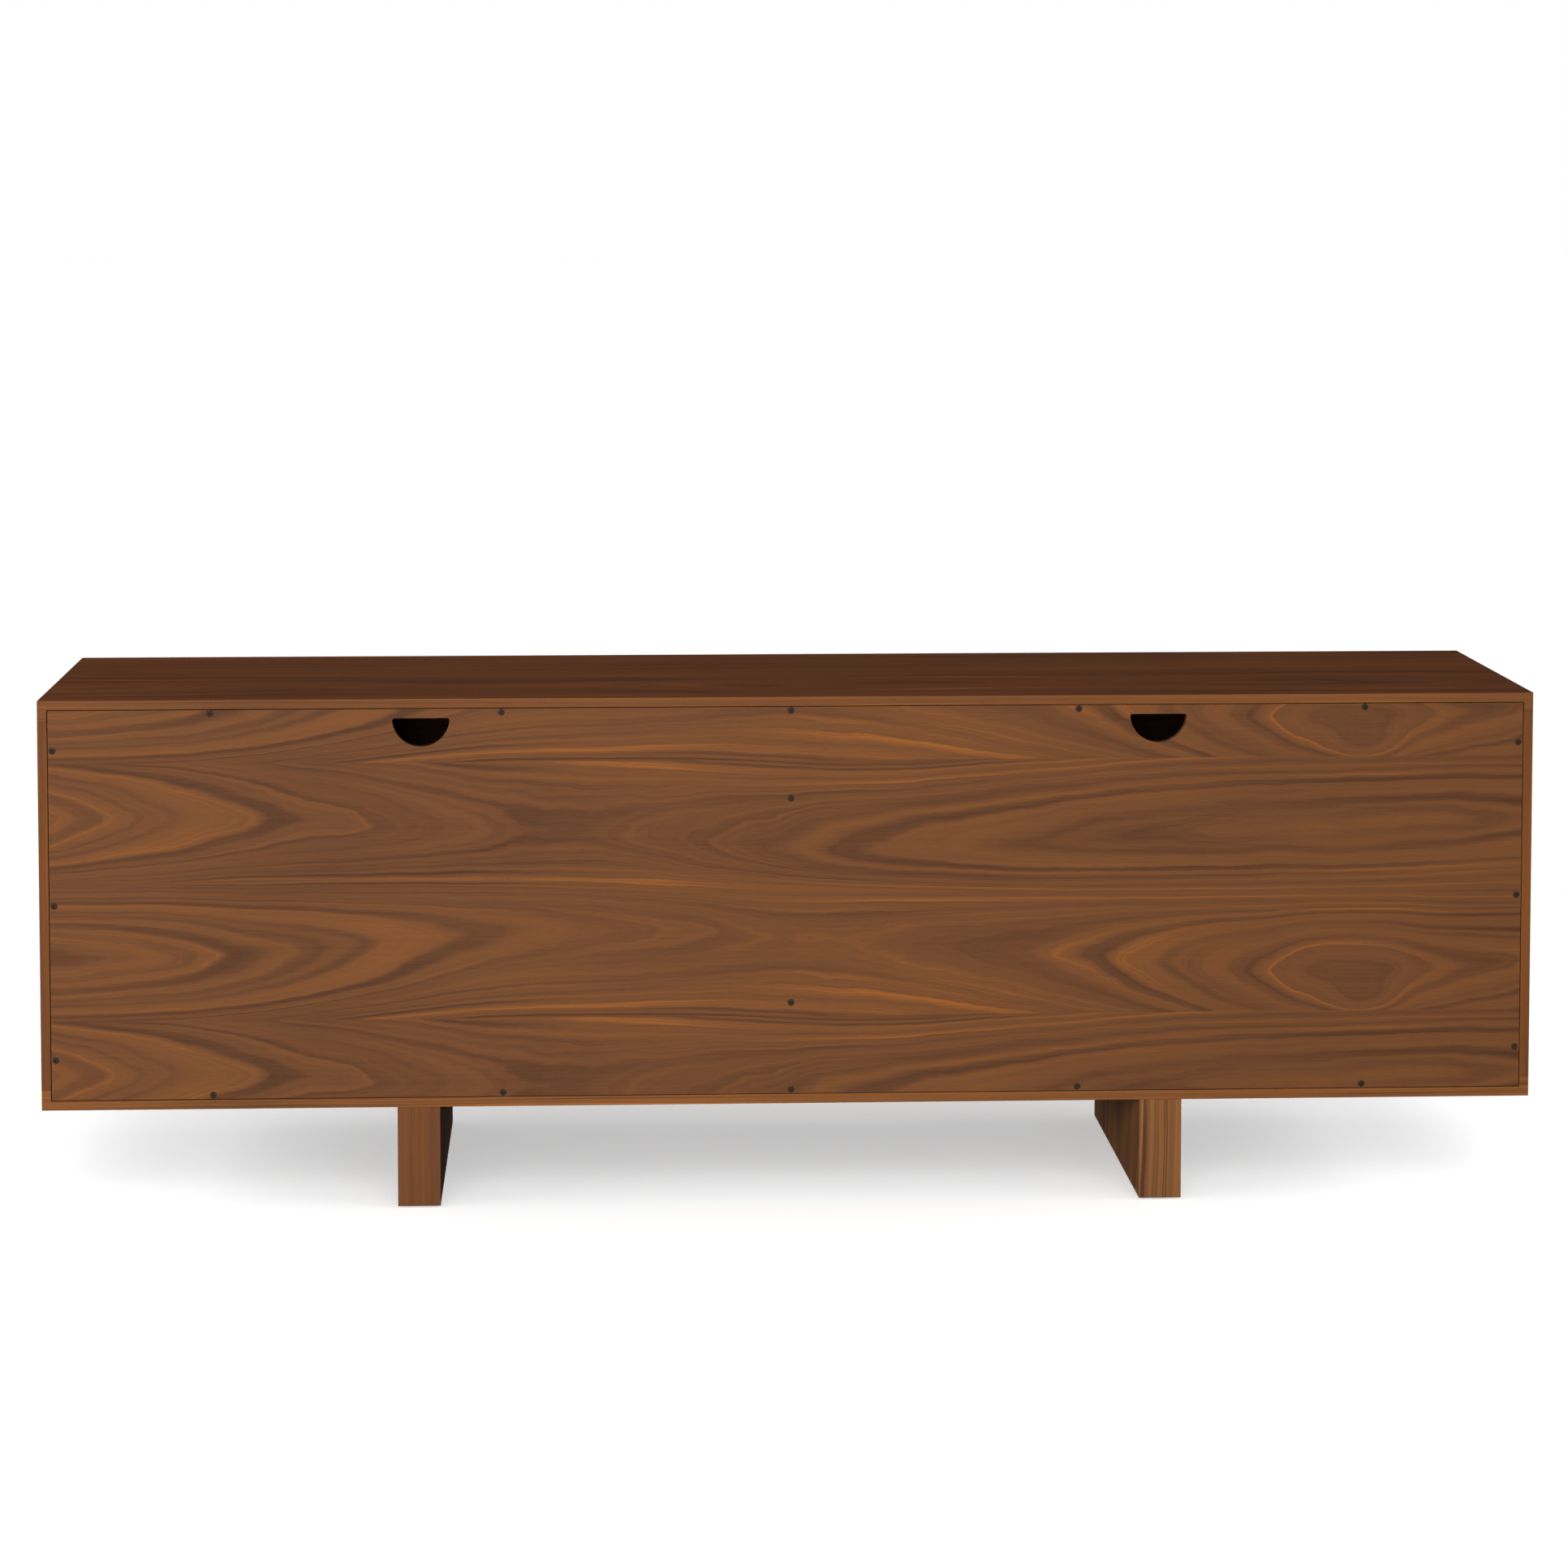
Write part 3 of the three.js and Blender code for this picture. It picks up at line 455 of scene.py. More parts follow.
# How light (up to 1) or dark (down to -1) the log is at each depth, in millimetres.
FIGURE_DEPTH = 160
FIGURE_STRENGTH = 0.22
FADED_FIGURE_STRENGTH = FIGURE_STRENGTH / 2
FADING_SCALE = (2.2, 9.0, 1.0)
FADING_LAYER = 9.0
FADING_RANGE = (0.3, 0.65)
LOG_FIGURE = [
    (0, -0.9), (160, 0), (8, -0.1), (12, 0.8), (16, 0), (21, 0.7), (26, -1), (31, 0.1),
    (36, 0.6), (40, -0.5), (44, 0.4), (48, -0.8), (51, 0.1), (60, 0.9), (64, 0.3), (67, -1),
    (71, -0.4), (75, 0.2), (79, -0.6), (85, 0.1), (98, 0), (106, 0.2), (111, -0.3), (116, 0.4),
    (121, -0.4), (127, 0.2), (132, 0.6), (137, -0.6), (142, 0.3), (147, -0.3), (153, 0.2),
]


def leaf_line(graph, share, points):
    """A line along the leaf, in metres."""
    return graph.curve(share, [(u, mm * MM / CURVE_UNIT) for u, mm in points]) * CURVE_UNIT


def depth_round_heart(graph, outward, saddle_width, deep):
    """How deep in the log a point of the leaf was cut, judged from one heart.

    outward is how far the point lies from the heart line, counted towards the saddle.
    """
    saddle_side = graph.ramp(outward, -HEART_SOFTENING, HEART_SOFTENING)
    width = graph.blend(saddle_side, SEAM_SIDE_WIDTH, saddle_width)
    reach = (outward.squared() + HEART_BLUNTNESS**2).root() - HEART_BLUNTNESS
    share_out = reach / width
    steep = graph.math("POWER", share_out, RISE_POWER)
    rise = share_out * STEADY_RISE + steep * (1 - STEADY_RISE)
    return deep + (SADDLE_DEPTH - deep) * rise


def knot_pull(graph, x, below):
    """How much shallower the knot makes the cut."""
    along = (x - KNOT_X) / KNOT_HALF_LENGTH
    down = (below - KNOT_BELOW) / KNOT_HALF_HEIGHT
    away = (along.squared() + down.squared()).root()
    return graph.ramp(away, 0, 1, KNOT_PULL, 0)


def veneer_depth(graph, x, below):
    """How deep in the log each point of the back panel's veneer was cut."""
    share = MIDDLE - x / CASE_WIDTH
    saddle = leaf_line(graph, share, SADDLE)
    upper_heart = leaf_line(graph, share, UPPER_HEART)
    lower_heart = leaf_line(graph, share, LOWER_HEART)
    upper_depth = leaf_line(graph, share, UPPER_DEPTH)
    lower_depth = leaf_line(graph, share, LOWER_DEPTH)
    upper = depth_round_heart(graph, below - upper_heart, saddle - upper_heart, upper_depth)
    lower = depth_round_heart(graph, lower_heart - below, lower_heart - saddle, lower_depth)
    wander = graph.noise(graph.scaled((x, below), WANDER_SCALE)) - MIDDLE
    ripple = graph.noise(graph.scaled((x, below), RIPPLE_SCALE), detail=3.0, roughness=0.6) - MIDDLE
    hearts = graph.math("MINIMUM", upper, lower) - knot_pull(graph, x, below)
    return hearts + wander * WANDER + ripple * RIPPLE


def log_figure(graph, depth, fading):
    """The light and dark bands of the log, which come and go with the fading noise."""
    points = [(mm / FIGURE_DEPTH, (light + 1) / 2) for mm, light in LOG_FIGURE]
    light = graph.curve(depth / (FIGURE_DEPTH * MM), points) * 2.0 - 1.0
    return light * graph.ramp(fading, *FADING_RANGE, FADED_FIGURE_STRENGTH, FIGURE_STRENGTH)


def back_veneer():
    graph = Graph("walnut_back_veneer")
    x, y, z = graph.place()
    below = graph.math("FLOORED_MODULO", UPPER_SEAM - z, LEAF_HEIGHT)
    depth = veneer_depth(graph, x, below)
    fading = graph.noise(graph.scaled((x, below, FADING_LAYER), FADING_SCALE))
    surface = walnut_surface(
        graph, x, depth / HEART_PITCH, below, y, NO_TINT,
        contrast=graph.ramp(depth, CALM_DEPTH, BOLD_DEPTH, CALM_CONTRAST, BOLD_CONTRAST),
        figure=log_figure(graph, depth, fading),
    )
    return finish_wood(graph, surface)


# ------------------------------------------------------------------ other finishes

GRAIN_COLOUR_RANGE = (0.3, 0.7)
GRAIN_ROUGHNESS_RANGE = (0.25, 0.75)
DRAWN_SCALE = (4.0, 3000.0, 3000.0)
DRAWN_RANGE = (0.3, 0.7)
DRAWN_ROUGHNESS = (0.28, 0.42)
DRAWN_DEPTH = 0.02 * MM


def fine_texture(graph, lump):
    """Noise that looks the same in every direction, for moulded or plated surfaces."""
    x, y, z = graph.place()
    return graph.noise(graph.vector(x / lump, y / lump, z / lump), detail=3.0)


def plain_finish(name, dark, light, rough, lump, bump, **uniform):
    """A metal or plastic with a fine grain.

    rough gives its lowest and highest roughness, lump the grain's size and bump its height.
    """
    graph = Graph(name)
    grain = fine_texture(graph, lump)
    colour = graph.mix(graph.ramp(grain, *GRAIN_COLOUR_RANGE), dark, light)
    roughness = graph.ramp(grain, *GRAIN_ROUGHNESS_RANGE, *rough)
    return graph.finish(colour, roughness, grain, bump, **uniform)


def extruded_aluminium(name, dark, light):
    """Anodised aluminium with fine drawing lines along X."""
    graph = Graph(name)
    lines = graph.noise(graph.scaled(graph.place(), DRAWN_SCALE))
    colour = graph.mix(lines, dark, light)
    roughness = graph.ramp(lines, *DRAWN_RANGE, *DRAWN_ROUGHNESS)
    return graph.finish(colour, roughness, lines, DRAWN_DEPTH, Metallic=1.0)


X_AXIS, Z_AXIS = 0, 2
BOARD_PITCH = 6 * MM

# Each board's face: the grain's axis, the heart line's place in the two other axes, and the tint.
BOARD_FACES = {
    # The top board's tint is painted shade: it makes the board's top, underside and ends darker and
    # redder, standing in for the weaker light on the top.
    "top_face_painted_shade": (X_AXIS, (0.1, 0.45), (0.8, 0.67, 0.6)),
    "bottom_face": (X_AXIS, (-0.1, -0.2), (1.0, 0.95, 0.9)),
    "left_face": (Z_AXIS, (-1.2, 0.05), NO_TINT),
    "right_face": (Z_AXIS, (1.2, -0.05), NO_TINT),
    "inside_face": (Z_AXIS, (0.25, 0.02), NO_TINT),
    "shelf_face": (X_AXIS, (0.05, 0.2), NO_TINT),
    "left_door_face": (X_AXIS, (-0.1, 0.4), NO_TINT),
    "right_door_face": (X_AXIS, (-0.1, 0.36), NO_TINT),
    # The doors' inner faces are darkened to a third as painted shade, so that the closed case looks
    # black inside through the outlets.
    "door_back_painted_shade": (X_AXIS, (-0.1, 0.3), (0.3, 0.3, 0.3)),
}

# Each edging: the grain's axis and the tint.
EDGINGS = {
    "top_edge": (X_AXIS, (1.18, 1.14, 1.0)),
    "bottom_edge": (X_AXIS, (1.5, 1.42, 1.1)),
    "left_edge": (Z_AXIS, (1.13, 1.02, 0.83)),
    "right_edge": (Z_AXIS, (1.04, 0.94, 0.78)),
}


def wood_finishes():
    """Every walnut finish by its name: the boards' faces and edgings, the back and the legs."""
    finishes = {"back": back_veneer()}
    for key, (grain, heart, tint) in BOARD_FACES.items():
        finishes[key] = plank(f"walnut_{key}", grain, heart, BOARD_PITCH, tint)
    for key, (grain, tint) in EDGINGS.items():
        finishes[key] = edging(f"walnut_{key}", grain, tint)
    # The back panel's eased arrises take a much lighter tint: a painted highlight along the panel's
    # edges, the outlets' rims and the screw holes' mouths.
    finishes["back_arris_highlight"] = plank(
        "walnut_back_arris", X_AXIS, heart=(0.3, 0.9), pitch=5 * MM, tint=(1.8, 1.7, 1.5),
    )
    finishes["left_leg"] = plank(
        "walnut_left_leg", Z_AXIS, heart=(-1.5, 0.35), pitch=5 * MM, tint=(1.42, 1.5, 1.42),
        bend=45 * MM, contrast=1.4,
    )
    finishes["right_leg"] = plank(
        "walnut_right_leg", Z_AXIS, heart=(1.5, 0.35), pitch=4 * MM, tint=(0.97, 0.93, 0.88),
        bend=30 * MM, contrast=0.6,
    )
    return finishes


MATERIALS = {
    **wood_finishes(),
    "black_steel": plain_finish(
        "black_steel", linear(26, 23, 20), linear(42, 37, 33),
        rough=(0.5, 0.65), lump=0.8 * MM, bump=0.02 * MM, Specular_IOR_Level=0.2,
    ),
    "screw_steel": plain_finish(
        "worn_black_steel", linear(46, 35, 29), linear(64, 50, 42),
        rough=(0.5, 0.65), lump=0.8 * MM, bump=0.02 * MM, Specular_IOR_Level=0.1,
    ),
    "zinc_steel": plain_finish(
        "zinc_steel", linear(160, 162, 166), linear(196, 198, 201),
        rough=(0.25, 0.4), lump=1.5 * MM, bump=0.01 * MM, Metallic=1.0,
    ),
    "aluminium": extruded_aluminium("bronze_aluminium", linear(70, 62, 54), linear(92, 82, 72)),
    "plastic": plain_finish(
        "black_plastic", linear(24, 24, 25), linear(36, 36, 37),
        rough=(0.5, 0.62), lump=0.5 * MM, bump=0.03 * MM,
    ),
    "nylon": plain_finish(
        "nylon", linear(208, 204, 192), linear(226, 223, 213),
        rough=(0.4, 0.5), lump=1.0 * MM, bump=0.02 * MM, Subsurface_Weight=0.1,
    ),
    "rubber": plain_finish(
        "rubber_stop", linear(62, 61, 60), linear(78, 77, 75),
        rough=(0.7, 0.85), lump=0.4 * MM, bump=0.04 * MM,
    ),
}

# ------------------------------------------------------------------ making and placing pieces

SHARP_ANGLE = math.radians(30)
FLAT_ANGLE = math.radians(1)
SAME_POINT = 0.001 * MM
EASE_STEPS = 3
ROUND_PROFILE = 0.5

# How far a cutting tool reaches past the surface it cuts.
CUT_MARGIN = 1 * MM


def new_piece(name, mesh_builder, materials):
    """Turns a bmesh into an object with its materials, in the scene."""
    mesh = bpy.data.meshes.new(name)
    mesh_builder.to_mesh(mesh)
    mesh_builder.free()
    piece = bpy.data.objects.new(name, mesh)
    bpy.context.scene.collection.objects.link(piece)
    for key in materials:
        mesh.materials.append(MATERIALS[key])
    return piece


def stand_for(piece, node):
    """The piece takes the CAD node's place and body, and the node is hidden."""
    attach(piece, frame["nodes"][node]["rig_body"])
    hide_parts(node)


def ease_edges(builder, width):
    """Rounds every convex edge between two clearly different faces. Returns the new faces."""
    sharp = [
        edge for edge in builder.edges
        if edge.is_manifold and edge.is_convex and edge.calc_face_angle() > SHARP_ANGLE
    ]
    made = bmesh.ops.bevel(
        builder, geom=sharp, offset=width, segments=EASE_STEPS, profile=ROUND_PROFILE,
        affect="EDGES", clamp_overlap=True,
    )
    for face in made["faces"]:
        face.smooth = True
    return made["faces"]


def copy_of(node):
    """A node's solid as clean flat faces, ready to be shaped further."""
    builder = bmesh.new()
    builder.from_mesh(frame["nodes"][node].data)
    bmesh.ops.remove_doubles(builder, verts=builder.verts, dist=SAME_POINT)
    bmesh.ops.dissolve_limit(
        builder, angle_limit=FLAT_ANGLE, verts=builder.verts, edges=builder.edges,
    )
    return builder


def eased(node, width, materials, pick=None):
    """A node's shape with eased edges. pick(face) chooses among the materials."""
    builder = copy_of(node)
    ease_edges(builder, width)
    if pick:
        for face in builder.faces:
            face.material_index = pick(face)
    stand_for(new_piece(f"{node}_eased", builder, materials), node)


def place_round_piece(name, builder, materials, node):
    """Puts a round shape in its node's place, smooth but for its sharp edges."""
    bmesh.ops.recalc_face_normals(builder, faces=builder.faces)
    piece = new_piece(name, builder, materials)
    piece.data.shade_smooth()
    piece.data.set_sharp_from_angle(angle=SHARP_ANGLE)
    stand_for(piece, node)


def lathe(profile, sides):
    """A closed turned shape about Z. The profile lists (radius, z) from axis to axis."""
    builder = bmesh.new()
    rings = []
    for radius, height in profile:
        if radius == 0:
            rings.append([builder.verts.new((0, 0, height))])
            continue
        turns = [2 * math.pi * i / sides for i in range(sides)]
        points = [(radius * math.cos(a), radius * math.sin(a), height) for a in turns]
        rings.append([builder.verts.new(point) for point in points])
    for lower, upper in zip(rings, rings[1:]):
        bridge(builder, lower, upper)
    return builder


def bridge(builder, lower, upper):
    """Joins two loops of points with faces. A loop of one point closes the shape."""
    count = max(len(lower), len(upper))
    for i in range(count):
        j = (i + 1) % count
        corners = [lower[i % len(lower)], lower[j % len(lower)]]
        corners += [upper[j % len(upper)], upper[i % len(upper)]]
        corners = list(dict.fromkeys(corners))
        builder.faces.new(corners)


def block(low, high):
    builder = bmesh.new()
    bmesh.ops.create_cube(builder, size=1.0)
    size = Vector(high) - Vector(low)
    bmesh.ops.transform(builder, matrix=Matrix.Diagonal((*size, 1.0)), verts=builder.verts)
    bmesh.ops.translate(builder, vec=(Vector(low) + Vector(high)) / 2, verts=builder.verts)
    return builder


def joined(builders):
    """Several bmeshes as one."""
    whole = bmesh.new()
    for builder in builders:
        mesh = bpy.data.meshes.new("part")
        builder.to_mesh(mesh)
        builder.free()
        whole.from_mesh(mesh)
        bpy.data.meshes.remove(mesh)
    return whole


def cut(base, tool):
    """The base with the tool taken away, as a new bmesh."""
    objects = []
    for builder in (base, tool):
        mesh = bpy.data.meshes.new("solid")
        bmesh.ops.recalc_face_normals(builder, faces=builder.faces)
        builder.to_mesh(mesh)
        builder.free()
        objects.append(bpy.data.objects.new("solid", mesh))
        bpy.context.scene.collection.objects.link(objects[-1])
    modifier = objects[0].modifiers.new("cut", "BOOLEAN")
    modifier.operation = "DIFFERENCE"
    modifier.solver = "EXACT"
    modifier.object = objects[1]
    result = bpy.data.meshes.new_from_object(
        objects[0].evaluated_get(bpy.context.evaluated_depsgraph_get())
    )
    builder = bmesh.new()
    builder.from_mesh(result)
    for thing in objects:
        bpy.data.meshes.remove(thing.data)
    bpy.data.meshes.remove(result)
    return builder


def turned_to(builder, direction, place):
    """Turns a shape's +Z to the direction, and moves its origin to the place."""
    turn = Vector((0, 0, 1)).rotation_difference(Vector(direction)).to_matrix().to_4x4()
    matrix = Matrix.Translation(place) @ turn
    bmesh.ops.transform(builder, matrix=matrix, verts=builder.verts)
    return builder


# ------------------------------------------------------------------ case boards

EDGE_EASE = 0.5 * MM
LEG_EASE = 0.8 * MM
SQUARE_ON = 0.95


def faces_rear_or_front(face):
    return 1 if abs(face.normal.y) > SQUARE_ON else 0


def faces_rear(face):
    return 1 if face.normal.y > SQUARE_ON else 0


def build_case():
    # The top board's faces take the painted shade tint; its rear and front edges take the edging.
    eased("top_panel", EDGE_EASE, ["top_face_painted_shade", "top_edge"], faces_rear_or_front)
    eased("bottom_panel", EDGE_EASE, ["bottom_face", "bottom_edge"], faces_rear_or_front)
    for side in SIDES:
        eased(f"{side}_side_panel", EDGE_EASE, [f"{side}_face", f"{side}_edge"], faces_rear_or_front)
    eased("centre_divider", EDGE_EASE, ["inside_face", "left_edge"], faces_rear_or_front)
    for side in SIDES:
        eased(f"{side}_shelf", EDGE_EASE, ["shelf_face", "top_edge"], faces_rear_or_front)
        eased(f"{side}_leg", LEG_EASE, [f"{side}_leg"])


# ------------------------------------------------------------------ back panel and its screws

OUTLET_RADIUS = 35 * MM
OUTLET_CORNER = 3 * MM
OUTLET_TOP = CASE_HIGH.z - 23.75 * MM
OUTLET_STEPS = 48
CORNER_STEPS = 8
PANEL_EASE = 0.6 * MM
SCREW_RADIUS = 4 * MM
SCREW_HEAD_DEPTH = 2.5 * MM
SCREW_SHANK = 1.75 * MM
HOLE_GAP = 0.25 * MM
SCREW_SIDES = 32
SCREW_LENGTH = 30 * MM
SCREW_POINT = 4 * MM
SCREW_RIM = 0.2 * MM
SCREW_RIM_FALL = 0.3 * MM
SCREW_TURN = math.radians(63)
THREAD_PITCH = 1.6 * MM
THREAD_ROOT = SCREW_SHANK * 0.72
CROSS_ARMS = 4
CROSS_DEPTH = 2.3 * MM
CROSS_REACH = 2.7 * MM
CROSS_REACH_TAPER = 1.65 * MM
CROSS_HALF_SLOT = 0.75 * MM
CROSS_SLOT_TAPER = 0.3 * MM


def arc(centre_x, centre_z, radius, start, end, steps):
    """Points along an arc in X and Z."""
    angles = [start + (end - start) * i / steps for i in range(steps + 1)]
    return [(centre_x + radius * math.cos(a), centre_z + radius * math.sin(a)) for a in angles]


def prism(outline, start_y, end_y):
    """An outline in X and Z, extruded along Y."""
    builder = bmesh.new()
    loops = [[builder.verts.new((x, y, z)) for x, z in outline] for y in (start_y, end_y)]
    bridge(builder, *loops)
    for loop in loops:
        builder.faces.new(loop)
    return builder


def outlet_tool(x):
    """A half disc with its flat side up and small round upper corners."""
    bulge = OUTLET_RADIUS - OUTLET_CORNER
    corner_x = math.sqrt(bulge**2 - OUTLET_CORNER**2)
    turn = math.asin(OUTLET_CORNER / bulge)
    corner_z = OUTLET_TOP - OUTLET_CORNER
    right = arc(x + corner_x, corner_z, OUTLET_CORNER, math.pi / 2, -turn, CORNER_STEPS)
    bottom = arc(x, OUTLET_TOP, OUTLET_RADIUS, -turn, turn - math.pi, OUTLET_STEPS)
    left = arc(x - corner_x, corner_z, OUTLET_CORNER, turn + math.pi, math.pi / 2, CORNER_STEPS)
    outline = right + bottom[1:-1] + left
    return prism(outline, PANEL_LOW.y - CUT_MARGIN, PANEL_HIGH.y + CUT_MARGIN)


def countersink_tool(node):
    """The hole for one screw, following the screw's cone."""
    place = centre_of(node)
    head_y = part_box(node)[1].y
    slope = (SCREW_RADIUS - SCREW_SHANK) / SCREW_HEAD_DEPTH
    sink = head_y - SCREW_HEAD_DEPTH - HOLE_GAP
    hole = SCREW_SHANK + HOLE_GAP
    mouth = PANEL_HIGH.y + CUT_MARGIN
    start = PANEL_LOW.y - CUT_MARGIN
    wide = hole + slope * (mouth - sink)
    profile = [(0, start), (hole, start), (hole, sink), (wide, mouth), (0, mouth)]
    return turned_to(lathe(profile, SCREW_SIDES), (0, 1, 0), (place.x, 0, place.z))


def build_back_panel():
    tools = [outlet_tool(sign * BAY_CENTRE) for sign in (-1, 1)]
    tools += [countersink_tool(node) for node in nodes_named("back_screw")]
    builder = cut(block(PANEL_LOW, PANEL_HIGH), joined(tools))
    # The eased faces of the back panel take the painted highlight finish.
    for face in ease_edges(builder, PANEL_EASE):
        face.material_index = 1
    stand_for(new_piece("back_panel_veneered", builder, ["back", "back_arris_highlight"]), "back_panel")


def screw_shape():
    """A countersunk screw along +Z, with its head's face on z = 0, a thread and a cross recess."""
    profile = [(0, -SCREW_LENGTH), (SCREW_SHANK / 2, -SCREW_LENGTH + SCREW_POINT / 2)]
    depth = -SCREW_LENGTH + SCREW_POINT
    while depth < -SCREW_HEAD_DEPTH - THREAD_PITCH:
        profile += [(SCREW_SHANK, depth), (THREAD_ROOT, depth + THREAD_PITCH / 2)]
        depth += THREAD_PITCH
    profile += [
        (SCREW_SHANK, -SCREW_HEAD_DEPTH),
        (SCREW_RADIUS - SCREW_RIM, -SCREW_RIM_FALL),
        (SCREW_RADIUS, -SCREW_RIM),
        (SCREW_RADIUS, -SCREW_RIM / 2),
        (SCREW_RADIUS - SCREW_RIM, 0),
        (0, 0),
    ]
    return cut(lathe(profile, SCREW_SIDES), cross_recess())


def cross_loop(builder, end):
    """The outline of an upright cross at one end of the cutting tool: -1 is its tip, 1 its top."""
    reach = CROSS_REACH + end * CROSS_REACH_TAPER
    half_slot = CROSS_HALF_SLOT + end * CROSS_SLOT_TAPER
    height = end * CROSS_DEPTH
    loop = []
    for arm in range(CROSS_ARMS):
        turn = Matrix.Rotation(2 * math.pi * arm / CROSS_ARMS, 3, "Z")
        for corner in ((reach, -half_slot), (reach, half_slot), (half_slot, half_slot)):
            loop.append(builder.verts.new(turn @ Vector((*corner, height))))
    return loop


def cross_recess():
    """A cutting tool for a cross that narrows downwards, as a driver's tip does."""
    builder = bmesh.new()
    lower = cross_loop(builder, -1)
    upper = cross_loop(builder, 1)
    bridge(builder, lower, upper)
    builder.faces.new(lower)
    builder.faces.new(upper)
    return builder


def build_screws():
    shape = screw_shape()
    for index, node in enumerate(nodes_named("back_screw")):
        place = centre_of(node)
        builder = shape.copy()
        turn = Matrix.Rotation(index * SCREW_TURN, 4, "Z")
        bmesh.ops.transform(builder, matrix=turn, verts=builder.verts)
        turned_to(builder, (0, 1, 0), (place.x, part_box(node)[1].y, place.z))
        place_round_piece(f"{node}_threaded", builder, ["screw_steel"], node)
    shape.free()


# ------------------------------------------------------------------ doors and their hardware

ARC_STEPS = 16
PULL_WALL = 1.5 * MM
PULL_LIP = 2 * MM
PULL_EASE = 0.5 * MM
PULL_RIM = 1 * MM
PULL_BASE_ROUND = 1.5 * MM
AXLE_RADIUS = 1.75 * MM
HUB_RADIUS = 3.6 * MM
TREAD_RADIUS = 8 * MM
TREAD_HALF_WIDTH = 1.5 * MM
FLANGE_WIDTH = 1.25 * MM
WHEEL_HALF_WIDTH = 3.25 * MM
WHEEL_EASE = 0.3 * MM
HOUSING_EASE = 0.4 * MM
TRACK_EASE = 0.2 * MM

# The soft corner between a pull's floor and its wall: how far in from the wall, and how far up.
PULL_FLOOR_CORNER = [(2.55 * MM, 0), (0.9 * MM, 0.45 * MM), (0, 1.5 * MM)]


def slot_loop(builder, middle, half_straight, radius, y):
    """A loop of points round an upright slot."""
    upper = arc(middle.x, middle.z + half_straight, radius, 0, math.pi, ARC_STEPS)
    lower = arc(middle.x, middle.z - half_straight, radius, math.pi, 2 * math.pi, ARC_STEPS)
    return [builder.verts.new((x, y, z)) for x, z in upper + lower]


def pull_section(flange, face, back):
    """Radius and y along a pull's section, from the cup's floor out and round to its underside."""
    outside = flange - PULL_LIP
    inside = outside - PULL_WALL
    floor = back - PULL_WALL
    return [(inside - inwards, floor - up) for inwards, up in PULL_FLOOR_CORNER] + [
        (inside, face + PULL_EASE),
        (inside + PULL_EASE, face),
        (flange - PULL_EASE, face),
        (flange, face + PULL_EASE),
        (flange, face + PULL_RIM),
        (outside, face + PULL_RIM),
        (outside, back - PULL_BASE_ROUND),
        (outside - PULL_BASE_ROUND, back),
    ]


def build_finger_pull(side):
    """A flush cup with a thin rounded rim, pressed from sheet."""
    node = f"{side}_finger_pull"
    low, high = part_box(node)
    flange = (high.x - low.x) / 2
    half_straight = (high.z - low.z) / 2 - flange
    middle = centre_of(node)
    builder = bmesh.new()
    section = pull_section(flange, low.y, high.y)
    loops = [slot_loop(builder, middle, half_straight, radius, y) for radius, y in section]
    for first, second in zip(loops, loops[1:]):
        bridge(builder, first, second)
    for loop in (loops[0], loops[-1]):
        builder.faces.new(loop)
    place_round_piece(f"{node}_pressed", builder, ["black_steel"], node)


def wheel_profile(rim, half_axle):
    """One half of a wheel and its axle, from the axle's end in to the middle of the tread."""
    return [
        (0, -half_axle),
        (AXLE_RADIUS - WHEEL_EASE, -half_axle),
        (AXLE_RADIUS, -half_axle + WHEEL_EASE),
        (AXLE_RADIUS, -WHEEL_HALF_WIDTH),
        (HUB_RADIUS, -WHEEL_HALF_WIDTH),
        (HUB_RADIUS + WHEEL_EASE, -WHEEL_HALF_WIDTH + WHEEL_EASE),
        (TREAD_RADIUS - WHEEL_EASE, -WHEEL_HALF_WIDTH + WHEEL_EASE),
        (TREAD_RADIUS, -WHEEL_HALF_WIDTH),
        (rim - WHEEL_EASE, -WHEEL_HALF_WIDTH),
        (rim, -WHEEL_HALF_WIDTH + WHEEL_EASE),
        (rim, -WHEEL_HALF_WIDTH + FLANGE_WIDTH),
        (TREAD_RADIUS, -TREAD_HALF_WIDTH),
    ]


def build_wheel(node):
    """A grooved nylon wheel on a steel axle, turning about Y."""
    size = size_of(node)
    half = wheel_profile(size.z / 2, size.y / 2)
    other_half = [(radius, -y) for radius, y in reversed(half)]
    middle = centre_of(node)
    builder = turned_to(lathe(half + other_half, TURNED_SIDES), (0, 1, 0), middle)
    for face in builder.faces:
        centre = face.calc_center_median() - middle
        on_axle = centre.xz.length < HUB_RADIUS / 2 and abs(centre.y) > WHEEL_HALF_WIDTH
        face.material_index = 1 if on_axle else 0
    place_round_piece(f"{node}_grooved", builder, ["nylon", "zinc_steel"], node)


def build_doors():
    for side in SIDES:
        # Each door's inner face takes the painted shade finish.
        eased(f"{side}_door", EDGE_EASE, [f"{side}_door_face", "door_back_painted_shade"], faces_rear)
        build_finger_pull(side)
        for number in (1, 2):
            eased(f"{side}_roller_housing_{number}", HOUSING_EASE, ["plastic"])
            build_wheel(f"{side}_roller_wheel_{number}")


def build_tracks():
    for node in ("upper_guide_channel", "lower_running_track"):
        eased(node, TRACK_EASE, ["aluminium"])


# ------------------------------------------------------------------ small turned hardware

